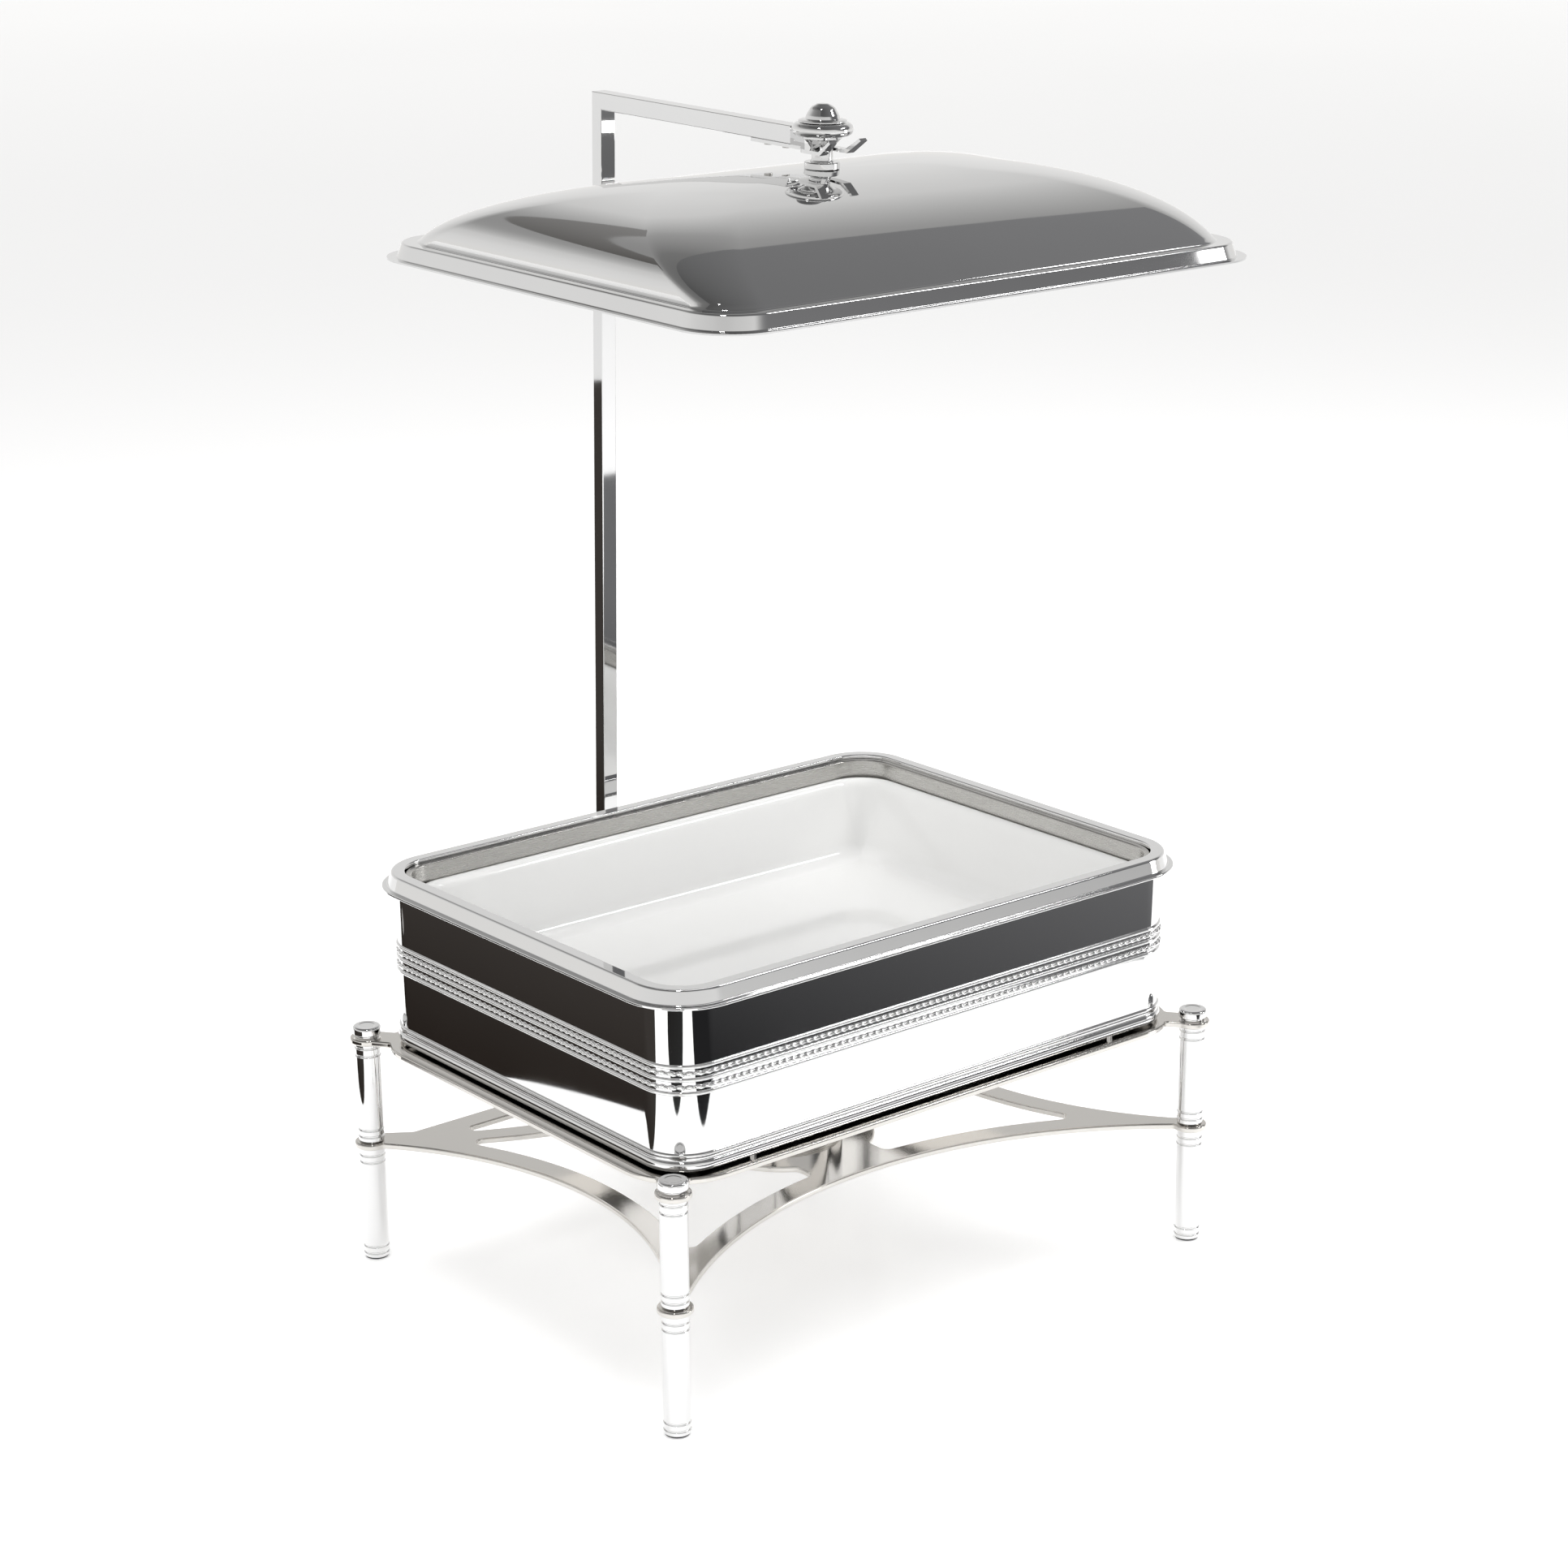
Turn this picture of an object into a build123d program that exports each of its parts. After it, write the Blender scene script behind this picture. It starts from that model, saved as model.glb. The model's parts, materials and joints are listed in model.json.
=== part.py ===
from build123d import *
import math
import os

# Electric buffet server: four-legged stand, electric heater, rectangular tub with a water pan and a
# porcelain food pan, and a lid that hangs by its knob from a fork on a leaning holder.
# Millimetres. Origin on the floor, midway between the four feet. +X right, +Y to the back, +Z up.

# Stand
LEG_X, LEG_Y = 250.0, 190.0
LEG_D = 20.0
LUG_D = 26.0
ROD_D = 6.0
ROD_BORE = 6.4
PLATE_T = 4.5
SHELF_TOP = 96.5
PLATE_TOP = 181.5
LEG_TOP = 190.0
CAP_D = 21.5
PAD_T = 1.5
EDGE = 1.3

# Tub
BODY_X, BODY_Y, BODY_R = 240.0, 180.0, 32.0
SHEET = 1.5
TUB_BASE = 185.5
RIM_TOP = 316.5
RIM_BASE = 304.0
FLANGE_T = 2.3
MOUTH_X, MOUTH_Y, MOUTH_R = 234.0, 174.0, 30.0
FLANGE_X, FLANGE_Y, FLANGE_R = 251.5, 192.5, 40.0
LEDGE_TOP = 312.3
BAND_LEVELS_PLAIN = (259.8, 250.4, 240.4)
BAND_LEVELS_ROPE = (255.1, 245.1)
BEAD_D = 3.0
FEET_X, FEET_Y, FEET_D = 172.0, 178.0, 6.5
BOLT_X, BOLT_Y = 208.0, 158.0

# Pans
WATER_X, WATER_Y, WATER_R = 230.6, 170.6, 28.0
WATER_FLOOR = 199.0
STEP_TOP = 296.0
PAN_X, PAN_Y, PAN_R = 228.6, 168.6, 27.0
PAN_RIM = 300.0
PAN_FLOOR = 243.0

# Heater
DRUM_R = 46.0
HOT_PLATE_TOP = 198.6
BOX_HALF_W, BOX_BACK, BOX_TOP = 30.0, 74.0, 164.0
PANEL_T = 2.0
DIAL_X, DIAL_Z = 12.0, 143.0
ROCKER_X, ROCKER_Z = -16.0, 146.0
LAMP_X, LAMP_Z = -16.0, 129.0
INLET_Z = 110.5

# Holder
LEAN = 1.79
POST_Y, POST_Z = 218.56, 300.0
BAR_X, BAR_Y, BAR_H = 13.1, 11.7, 12.8
ARM_TOP = 568.14
ARM_END = -227.4
POST_END = -200.4
SOCKET_X, SOCKET_Y = 22.0, 21.0
SLIP = 0.1

# Lid and knob, measured along the knob axis in the holder's frame
KNOB_Y = -254.4
LID_TURN = 1.4
LID_X, LID_Y, LID_R = 252.0, 193.0, 40.0
LID_BASE = 480.0
LID_SHEET = 1.2
SKIRT_H = 11.5
DOME_X, DOME_Y, DOME_R = 234.5, 175.0, 34.0
DOME_TOP = 541.3
FORK_T = 2.5
NECK_R = 7.5
SLOT_R = 8.4


def rounded_block(half_x, half_y, radius, bottom, top):
    """Upright block with rounded corners, given by its half sizes and its two levels."""
    return Pos(0, 0, bottom) * extrude(RectangleRounded(2 * half_x, 2 * half_y, radius), top - bottom)


def tapered(sections):
    """Loft through (level, half_x, half_y, radius) sections, straight from each to the next."""
    faces = [Pos(0, 0, z) * RectangleRounded(2 * hx, 2 * hy, r) for z, hx, hy, r in sections]
    return loft(faces, ruled=True)


def turned(points):
    """Solid of revolution about Z through (radius, level) points, closed along the axis."""
    outline = [(0, points[0][1])] + list(points) + [(0, points[-1][1])]
    return revolve(Plane.XZ * make_face(Polyline([(r, z) for r, z in outline], close=True)), Axis.Z)


def rod(radius, bottom, top, x=0.0, y=0.0):
    """Round bar along Z between two levels."""
    return Pos(x, y, bottom) * extrude(Circle(radius), top - bottom)


def tube(outer, inner, bottom, top, x=0.0, y=0.0):
    """Round tube along Z between two levels."""
    return rod(outer, bottom, top, x, y) - rod(inner, bottom - 1, top + 1, x, y)


def level_edges(solid, level):
    """Edges of a solid that lie in one horizontal plane."""
    return solid.edges().filter_by(lambda e: abs(e.bounding_box().min.Z - level) < 1e-4
                                   and abs(e.bounding_box().max.Z - level) < 1e-4)


def holder_frame():
    """Place something built upright about the post's axis into the leaning holder."""
    return Location((0, POST_Y, POST_Z), (LEAN, 0, 0))


def lid_frame():
    """Place something built about the knob's axis onto the fork, turned a little as it hangs."""
    return holder_frame() * Location((0, KNOB_Y, 0), (0, 0, LID_TURN))


def write(name, solid, colour):
    """Write one sub-part."""
    solid.label = name
    solid.color = Color(*colour)
    export_step(solid, f"parts/{name}.step")


CHROME = (0.80, 0.80, 0.81)
SATIN = (0.62, 0.61, 0.59)
WHITE = (0.93, 0.93, 0.91)
BLACK = (0.07, 0.07, 0.075)
BRASS = (0.78, 0.62, 0.32)
AMBER = (0.85, 0.35, 0.08)
ALLOY = (0.66, 0.67, 0.68)


# ---- Legs ----

LEG_SPOTS = {"fl": (-LEG_X, -LEG_Y), "fr": (LEG_X, -LEG_Y), "bl": (-LEG_X, LEG_Y), "br": (LEG_X, LEG_Y)}
UPPER_GROOVES = (173.7, 167.4, 107.1, 101.7)
LOWER_GROOVES = (86.2, 80.7, 10.8, 5.4)
GROOVE_W, GROOVE_D = 1.7, 0.9
PLATE_BOTTOM = PLATE_TOP - PLATE_T
SHELF_BOTTOM = SHELF_TOP - PLATE_T


def barrel(bottom, top, grooves):
    """Tubular leg section with rolled ring grooves and a through bore for the tie rod."""
    body = rod(LEG_D / 2, bottom, top)
    body = chamfer(body.edges().filter_by(GeomType.CIRCLE), 0.4)
    for z in grooves:
        body -= tube(LEG_D / 2 + 1, LEG_D / 2 - GROOVE_D, z - GROOVE_W / 2, z + GROOVE_W / 2)
    return body - rod(ROD_BORE / 2, bottom - 1, top + 1)


def leg_cap():
    """Turned cap: a narrow neck on the plate's lug and a flat-topped head with a blind bore."""
    neck_r = 9.2
    head = turned([(neck_r, PLATE_TOP), (neck_r, PLATE_TOP + 2), (CAP_D / 2 - 1, PLATE_TOP + 2),
                   (CAP_D / 2, PLATE_TOP + 3), (CAP_D / 2, LEG_TOP - 1.8), (CAP_D / 2 - 0.6, LEG_TOP - 0.6),
                   (CAP_D / 2 - 2, LEG_TOP)])
    return head - rod(ROD_BORE / 2, PLATE_TOP - 1, LEG_TOP - 2.5)


def tie_rod():
    """Rod that clamps cap, plate, barrels and shelf together, with a head in the foot."""
    return rod(ROD_D / 2, PAD_T + 0.5, LEG_TOP - 3) + rod(6, PAD_T + 0.5, PAD_T + 4)


def build_legs():
    foot_bore = rod(6.4, PAD_T - 1, PAD_T + 4)
    lower = barrel(PAD_T, SHELF_BOTTOM, LOWER_GROOVES) - foot_bore
    upper = barrel(SHELF_TOP, PLATE_BOTTOM, UPPER_GROOVES)
    pad = turned([(7.8, 0), (8.8, 0.5), (8.8, PAD_T)])
    for tag, (x, y) in LEG_SPOTS.items():
        write(f"leg_upper_{tag}", Pos(x, y, 0) * upper, CHROME)
        write(f"leg_lower_{tag}", Pos(x, y, 0) * lower, CHROME)
    for name, piece, colour in (("leg_caps", leg_cap(), CHROME), ("tie_rods", tie_rod(), SATIN),
                                ("foot_pads", pad, BLACK)):
        write(name, Compound(children=[Pos(x, y, 0) * piece for x, y in LEG_SPOTS.values()]), colour)


# ---- Plates ----

TAB_HALF_W, TAB_BACK = 17.0, 246.0
PLATE_X, PLATE_Y, PLATE_R = 253.0, 189.0, 50.0
OPENING_X, OPENING_Y = 186.0, 140.0


def lugs():
    """The four round lugs, in plan."""
    plan = Sketch()
    for x, y in LEG_SPOTS.values():
        plan += Pos(x, y) * Circle(LUG_D / 2)
    return plan


def rod_holes(bottom, top):
    """Clearance holes for the four tie rods."""
    return [rod(ROD_BORE / 2, bottom - 1, top + 1, x, y) for x, y in LEG_SPOTS.values()]


def soften(plan, radius, near):
    """Round the plan's corners that lie where near(x, y) is true, one at a time where they allow it."""
    for corner in [v.center() for v in plan.vertices() if near(v.X, v.Y)]:
        match = [v for v in plan.vertices() if (v.center() - corner).length < 1e-3]
        try:
            plan = fillet(match, radius)
        except Exception:
            continue
    return plan


def tub_plate():
    """Plate that carries the tub: rounded rectangle, lugs on short necks, rear tab, open middle."""
    plan = RectangleRounded(2 * PLATE_X, 2 * PLATE_Y, PLATE_R)
    for x, y in LEG_SPOTS.values():
        inward = math.degrees(math.atan2(-math.copysign(15.6, y), -math.copysign(11.6, x)))
        plan += Pos(x, y) * Rot(0, 0, inward) * Pos(15, 0) * Rectangle(30, 22)
    plan += lugs()
    plan = soften(plan, 3.0, lambda x, y: abs(x) > 215 and abs(y) > 150)
    plan += Pos(0, (PLATE_Y - 5 + TAB_BACK) / 2) * Rectangle(2 * TAB_HALF_W, TAB_BACK - PLATE_Y + 5)
    plate = Pos(0, 0, PLATE_BOTTOM) * extrude(plan, PLATE_T)
    plate = fillet(level_edges(plate, PLATE_TOP) + level_edges(plate, PLATE_BOTTOM), EDGE)
    plate -= rounded_block(OPENING_X, OPENING_Y, 30, PLATE_BOTTOM - 1, PLATE_TOP + 1)
    plate -= Pos(0, POST_Y + 3.8, PLATE_TOP) * Box(BAR_X + 2.4, BAR_Y + 2.4, 20)
    for hole in rod_holes(PLATE_BOTTOM, PLATE_TOP) + bolt_circle(2.6, PLATE_BOTTOM - 1, PLATE_TOP + 1):
        plate -= hole
    return plate - rod(1.7, PLATE_BOTTOM - 1, PLATE_TOP + 1, 0, SOCKET_BOLT_Y)


SIDE_ARC_X, SIDE_ARC_R = 460.0, 276.0
FRONT_ARC_Y, FRONT_ARC_R = -463.0, 365.0
BAND_W = 20.0
REAR_EDGE, REAR_BAR = 182.5, 162.0
BACK_OUTER_APEX, BACK_OUTER_R = 108.0, 377.6
BACK_INNER_APEX, BACK_INNER_R = 88.0, 380.4
DISC_R = 71.0
FRONT_RIB, BACK_RIB = 36.0, 17.0
HOLE_R, SLOT_TIP_R = 6.5, 5.0


def shelf_outline():
    """Shelf in plan before its holes: bowed in at the sides and front, straight at the back."""
    plan = Pos(0, (REAR_EDGE - LEG_Y) / 2) * Rectangle(2 * LEG_X, REAR_EDGE + LEG_Y)
    for side in (-1, 1):
        plan -= Pos(side * SIDE_ARC_X, 0) * Circle(SIDE_ARC_R)
    plan -= Pos(0, FRONT_ARC_Y) * Circle(FRONT_ARC_R)
    for side in (-1, 1):
        neck = [(side * 217, REAR_EDGE), (side * 240.8, 199.2), (side * LEG_X, LEG_Y),
                (side * 259, 180.8), (side * 236, 160), (side * 217, 160)]
        plan += make_face(Polyline(neck, close=True)) - Pos(side * SIDE_ARC_X, 0) * Circle(SIDE_ARC_R)
    plan += lugs()
    plan = soften(plan, 4.0, lambda x, y: abs(x) > 215)
    return plan + Pos(0, (REAR_EDGE - 5 + TAB_BACK) / 2) * Rectangle(2 * TAB_HALF_W, TAB_BACK - REAR_EDGE + 5)


def shelf_hole(side):
    """Large opening between the bands and the middle disc, on one side."""
    hole = Pos(side * 120, 0) * Rectangle(240, 300)
    hole -= Pos(side * SIDE_ARC_X, 0) * Circle(SIDE_ARC_R + BAND_W)
    hole -= Pos(0, FRONT_ARC_Y) * Circle(FRONT_ARC_R + BAND_W)
    hole -= Pos(0, BACK_INNER_APEX + BACK_INNER_R) * Circle(BACK_INNER_R)
    hole -= Circle(DISC_R)
    hole -= Pos(0, -75) * Rectangle(2 * FRONT_RIB, 150)
    hole -= Pos(0, 75) * Rectangle(2 * BACK_RIB, 150)
    return soften(hole, HOLE_R, lambda x, y: True)


def shelf_slot(side):
    """Slim slot between the straight rear bar and the bowed back band, on one side."""
    slot = Pos(side * 120, 131) * Rectangle(240, 2 * (REAR_BAR - 131))
    slot = slot & (Pos(0, BACK_OUTER_APEX + BACK_OUTER_R) * Circle(BACK_OUTER_R))
    slot -= Pos(0, 131) * Rectangle(2 * BACK_RIB, 100)
    return soften(slot, SLOT_TIP_R, lambda x, y: True)


def lower_shelf():
    """Cut-out shelf that ties the legs, carries the heater and holds the post's foot."""
    plan = shelf_outline()
    for side in (-1, 1):
        plan -= shelf_hole(side)
        plan -= shelf_slot(side)
    shelf = Pos(0, 0, SHELF_BOTTOM) * extrude(plan, PLATE_T)
    shelf = fillet(level_edges(shelf, SHELF_TOP) + level_edges(shelf, SHELF_BOTTOM), EDGE)
    for hole in rod_holes(SHELF_BOTTOM, SHELF_TOP):
        shelf -= hole
    for x, y in heater_spots():
        shelf -= rod(2.2, SHELF_BOTTOM - 1, SHELF_TOP + 1, x, y)
    return shelf - rod(1.7, SHELF_BOTTOM - 1, SHELF_TOP + 1, 0, SOCKET_BOLT_Y)


# ---- Tub ----

def bolt_circle(radius, bottom, top):
    """Four round bars at the tub's fixing points."""
    return [rod(radius, bottom, top, sx * BOLT_X, sy * BOLT_Y) for sx in (-1, 1) for sy in (-1, 1)]


def tub_shell():
    """Open tub of polished sheet with a hole in its floor for the heater."""
    shell = rounded_block(BODY_X, BODY_Y, BODY_R, TUB_BASE, RIM_TOP - SHEET)
    shell -= rounded_block(BODY_X - SHEET, BODY_Y - SHEET, BODY_R - SHEET, TUB_BASE + SHEET, RIM_TOP)
    shell -= rod(DRUM_R + 5, TUB_BASE - 1, TUB_BASE + 3)
    for hole in bolt_circle(2.6, TUB_BASE - 1, TUB_BASE + 3):
        shell -= hole
    return shell


def rim_frame():
    """Pressed rim: flat top, slanted skirt, thin flange, and an inner ledge for the water pan."""
    skirt = tapered([(RIM_BASE + FLANGE_T, 247.5, 188.0, 37.5), (RIM_TOP - 2, 244.5, 184.5, 35.5),
                     (RIM_TOP - 0.6, 243.8, 183.8, 34.8), (RIM_TOP, 242.4, 182.4, 33.4)])
    flange = rounded_block(FLANGE_X, FLANGE_Y, FLANGE_R, RIM_BASE, RIM_BASE + FLANGE_T)
    flange = fillet(level_edges(flange, RIM_BASE + FLANGE_T) + level_edges(flange, RIM_BASE), 0.9)
    rim = skirt + flange
    rim -= rounded_block(MOUTH_X, MOUTH_Y, MOUTH_R, LEDGE_TOP, RIM_TOP + 1)
    rim -= rounded_block(231.8, 171.8, 28.5, RIM_BASE - 1, RIM_TOP)
    channel = rounded_block(BODY_X + 2, BODY_Y + 2, BODY_R + 2, RIM_BASE - 1, RIM_TOP - SHEET)
    channel -= rounded_block(MOUTH_X + SHEET, MOUTH_Y + SHEET, MOUTH_R + SHEET, RIM_BASE - 2, RIM_TOP)
    rim -= channel
    under_ledge = rounded_block(MOUTH_X + SHEET + 1, MOUTH_Y + SHEET + 1, MOUTH_R + SHEET, RIM_BASE - 1,
                                LEDGE_TOP - SHEET)
    return rim - under_ledge


def band_ring(level, height, proud):
    """Half-round ring round the body, with its back on the wall."""
    ring = rounded_block(BODY_X + proud, BODY_Y + proud, BODY_R + proud, level - height / 2, level + height / 2)
    edges = level_edges(ring, level - height / 2) + level_edges(ring, level + height / 2)
    ring = fillet(edges, min(proud, height / 2) - 0.05)
    return ring - rounded_block(BODY_X, BODY_Y, BODY_R, level - height, level + height)


def base_moulding():
    """Foot moulding round the tub: a full bead, a cove and a slimmer bead."""
    lower = band_ring(TUB_BASE + 2.5, 5.0, 2.2)
    cove = rounded_block(BODY_X + 0.6, BODY_Y + 0.6, BODY_R + 0.6, TUB_BASE + 5, TUB_BASE + 8)
    cove -= rounded_block(BODY_X, BODY_Y, BODY_R, TUB_BASE, TUB_BASE + 10)
    upper = band_ring(TUB_BASE + 9.5, 3.0, 1.5)
    return lower + cove + upper


def build_tub():
    write("tub_shell", tub_shell(), CHROME)
    write("rim_frame", rim_frame(), CHROME)
    write("base_moulding", base_moulding(), CHROME)
    plain = [band_ring(z, BEAD_D, 1.4) for z in BAND_LEVELS_PLAIN]
    write("band_beads", Compound(children=plain), CHROME)
    for name, z in zip(("rope_bead_upper", "rope_bead_lower"), BAND_LEVELS_ROPE):
        write(name, band_ring(z, BEAD_D + 0.4, 1.7), CHROME)
    feet = [rod(FEET_D / 2, PLATE_TOP, TUB_BASE, sx * FEET_X, sy * FEET_Y) for sx in (-1, 1) for sy in (-1, 1)]
    write("tub_feet", Compound(children=feet), CHROME)
    spacers = [bolt - hole for bolt, hole in zip(bolt_circle(5, PLATE_TOP, TUB_BASE),
                                                 bolt_circle(2.6, PLATE_TOP - 1, TUB_BASE + 1))]
    write("tub_spacers", Compound(children=spacers), SATIN)
    heads = bolt_circle(4.2, PLATE_BOTTOM - 2.6, PLATE_BOTTOM)
    shanks = bolt_circle(2.4, PLATE_BOTTOM - 1, TUB_BASE + SHEET + 4.5)
    write("tub_bolts", Compound(children=[h + s for h, s in zip(heads, shanks)]), SATIN)
    nuts = [n - h for n, h in zip(bolt_circle(4.4, TUB_BASE + SHEET, TUB_BASE + SHEET + 3.6),
                                  bolt_circle(2.45, TUB_BASE, TUB_BASE + 8))]
    write("tub_nuts", Compound(children=nuts), SATIN)


# ---- Pans ----

def water_pan():
    """Satin steel pan that hangs by its flange on the rim's ledge, stepped to carry the food pan."""
    body = rounded_block(233.7, 173.7, 29.7, LEDGE_TOP, LEDGE_TOP + 1.1)
    body += rounded_block(WATER_X, WATER_Y, WATER_R, STEP_TOP - 1.2, LEDGE_TOP + 0.5)
    body += tapered([(WATER_FLOOR, 212, 152, 24), (STEP_TOP - 0.5, WATER_X - 4, WATER_Y - 4, WATER_R - 3)])
    inner_step = rounded_block(WATER_X - 1.1, WATER_Y - 1.1, WATER_R - 1.1, STEP_TOP, LEDGE_TOP + 5)
    inner_low = tapered([(WATER_FLOOR + 1.2, 210.9, 150.9, 22.9),
                         (STEP_TOP + 0.5, WATER_X - 5.1, WATER_Y - 5.1, WATER_R - 4.1)])
    return body - inner_step - inner_low


def food_pan():
    """Glazed porcelain pan with a slim rim and gently sloped walls."""
    rim = rounded_block(PAN_X, PAN_Y, PAN_R, STEP_TOP, PAN_RIM)
    rim = fillet(level_edges(rim, PAN_RIM), 1.8)
    body = tapered([(PAN_FLOOR - 6, 202, 147, 28), (STEP_TOP + 1, 224.4, 164.4, 27)])
    body = fillet(level_edges(body, PAN_FLOOR - 6), 14)
    hollow = tapered([(PAN_FLOOR, 197, 142, 26), (PAN_RIM + 0.5, 220.6, 160.6, 24)])
    hollow = fillet(level_edges(hollow, PAN_FLOOR), 14)
    return rim + body - hollow


# ---- Heater ----

def heater_spots():
    """Plan positions of the heater's three fixing screws."""
    return [(32 * math.cos(math.radians(a)), 32 * math.sin(math.radians(a))) for a in (90, 210, 330)]


def control_box():
    """Box for the controls behind the drum, hollow and closed by its own back panel."""
    shape = Pos(0, (30 + BOX_BACK) / 2, SHELF_TOP) * extrude(Rectangle(2 * BOX_HALF_W, BOX_BACK - 30),
                                                            BOX_TOP - SHELF_TOP)
    shape = fillet(shape.edges().filter_by(Axis.Z).sort_by(Axis.Y)[-2:], 4)
    shape -= rod(DRUM_R + 0.2, SHELF_TOP - 1, BOX_TOP + 1)
    hollow = Pos(0, (20 + BOX_BACK - PANEL_T) / 2, SHELF_TOP + PANEL_T) * extrude(
        Rectangle(2 * BOX_HALF_W - 2 * PANEL_T, BOX_BACK - PANEL_T - 20), BOX_TOP - SHELF_TOP - 2 * PANEL_T)
    shape -= hollow - rod(DRUM_R + 0.2 + PANEL_T, SHELF_TOP, BOX_TOP)
    cut = Pos(0, BOX_BACK, 0)
    shape -= cut * Pos(ROCKER_X, 0, ROCKER_Z) * Box(13.4, 20, 19.4)
    shape -= cut * Pos(0, 0, INLET_Z) * Box(27.4, 20, 20.0)
    shape -= cut * Pos(DIAL_X, 0, DIAL_Z) * Rot(90, 0, 0) * Cylinder(3.6, 20)
    shape -= cut * Pos(LAMP_X, 0, LAMP_Z) * Rot(90, 0, 0) * Cylinder(4.1, 20)
    return shape


def across(radius, y0, y1, x, z):
    """Round bar along Y between two depths."""
    return Pos(x, (y0 + y1) / 2, z) * Rot(90, 0, 0) * Cylinder(radius, y1 - y0)


ROCKER_PIVOT_Y = BOX_BACK - 3.0
ROCKER_R = 6.6


def switch_bezel():
    """Snap-in switch housing with a round-bottomed cavity for the rocker."""
    body = Pos(ROCKER_X, BOX_BACK - 6, ROCKER_Z) * Box(13.0, 12, 19.0)
    body += Pos(ROCKER_X, BOX_BACK + 0.9, ROCKER_Z) * Box(15.5, 1.8, 21.5)
    cavity = Pos(ROCKER_X, ROCKER_PIVOT_Y, ROCKER_Z) * Rot(0, 90, 0) * Cylinder(ROCKER_R + 0.35, 10.0)
    mouth = Pos(ROCKER_X, BOX_BACK + 3, ROCKER_Z) * Box(10.0, 12, 2 * ROCKER_R + 0.7)
    return body - cavity - mouth


def rocker_switch():
    """Rocker with a shallow vee front, resting with its lower half out."""
    drum = Rot(0, 90, 0) * Cylinder(ROCKER_R, 9.4)
    front = Plane.YZ * make_face(Polyline([(3.4, 0), (5.6, 8), (-9, 8), (-9, -8), (5.6, -8)], close=True))
    vee = Pos(-8, 0, 0) * extrude(front, 16)
    return Pos(ROCKER_X, ROCKER_PIVOT_Y, ROCKER_Z) * Rot(-8, 0, 0) * (drum & vee)


def thermostat_dial():
    """Round knob with a raised grip bar, on the thermostat's shaft."""
    skirt = across(13, BOX_BACK + 0.6, BOX_BACK + 4.0, DIAL_X, DIAL_Z)
    grip = Pos(DIAL_X, BOX_BACK + 7.0, DIAL_Z) * Box(5.0, 9.0, 23.0)
    grip = grip & across(12.4, BOX_BACK + 2, BOX_BACK + 12, DIAL_X, DIAL_Z)
    return skirt + grip + across(3.0, BOX_BACK - 14, BOX_BACK + 2, DIAL_X, DIAL_Z)


def thermostat_body():
    """Thermostat behind the panel, bored for the dial's shaft."""
    body = Pos(DIAL_X, BOX_BACK - PANEL_T - 9.1, DIAL_Z) * Box(20, 18, 22)
    return body - across(3.1, BOX_BACK - 40, BOX_BACK, DIAL_X, DIAL_Z)


def power_inlet():
    """Recessed three-pin appliance inlet with a flange on the panel."""
    body = Pos(0, BOX_BACK - 8, INLET_Z) * Box(27.0, 16, 19.6)
    body += Pos(0, BOX_BACK + 1.0, INLET_Z) * Box(31.0, 2.0, 23.6)
    recess = Plane.XZ * make_face(Polyline([(-11, -7.5), (11, -7.5), (11, 3.5), (7, 7.5), (-7, 7.5), (-11, 3.5)],
                                           close=True))
    recess = Pos(0, BOX_BACK - 13, INLET_Z) * extrude(recess, -20)
    return body - recess


def inlet_pins():
    """Line, neutral and earth blades standing in the inlet's recess."""
    spots = ((-7, -2), (7, -2), (0, 2))
    return [Pos(x, BOX_BACK - 9, INLET_Z + z) * Box(2, 8, 4) for x, z in spots]


def heater_drum():
    """Round housing tube."""
    return tube(DRUM_R, DRUM_R - 1.5, SHELF_TOP + 3, 190)


def element():
    """Sheathed heating element: one ring under the plate with two straight cold ends."""
    ring = Pos(0, 0, 186.4) * Torus(28, 3.2)
    for x in (-4.5, 4.5):
        ring += rod(2.6, 166, 186.4, x, -27.6)
    return ring


def build_heater():
    base = rod(DRUM_R, SHELF_TOP, SHELF_TOP + 3)
    for x, y in heater_spots():
        base -= rod(2.2, SHELF_TOP - 1, SHELF_TOP + 4, x, y)
    write("heater_base", base, SATIN)
    write("heater_drum", heater_drum(), CHROME)
    ring = turned([(DRUM_R, 190), (DRUM_R, 192.5), (DRUM_R - 1, 193.5)]) - rod(42, 180, 200)
    write("heater_bezel", ring, CHROME)
    write("heating_plate", turned([(41.6, 189.8), (41.6, HOT_PLATE_TOP - 0.8), (40.8, HOT_PLATE_TOP)]), ALLOY)
    write("heating_element", element(), SATIN)
    disc = tube(43.5, 6, 152, 164)
    write("insulation_disc", disc, WHITE)
    write("thermal_cutout", rod(7, 181, 189.6), BLACK)
    write("control_box", control_box(), SATIN)
    write("thermostat", thermostat_body(), BLACK)
    write("thermostat_dial", thermostat_dial(), BLACK)
    write("switch_bezel", switch_bezel(), BLACK)
    write("rocker_switch", rocker_switch(), BLACK)
    lamp = across(4.0, BOX_BACK - 10, BOX_BACK + 1.8, LAMP_X, LAMP_Z) \
        + across(5.5, BOX_BACK, BOX_BACK + 1.2, LAMP_X, LAMP_Z)
    write("power_lamp", lamp, AMBER)
    write("power_inlet", power_inlet(), BLACK)
    write("inlet_pins", Compound(children=inlet_pins()), BRASS)
    write("terminal_block", Pos(-17, 53.5, 127) * Box(14, 8, 22), WHITE)
    screws = [rod(1.9, SHELF_BOTTOM - 1, SHELF_TOP + 3, x, y) + rod(3.8, SHELF_BOTTOM - 2.4, SHELF_BOTTOM, x, y)
              for x, y in heater_spots()]
    write("heater_screws", Compound(children=screws), SATIN)


# ---- Lid holder ----

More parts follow.
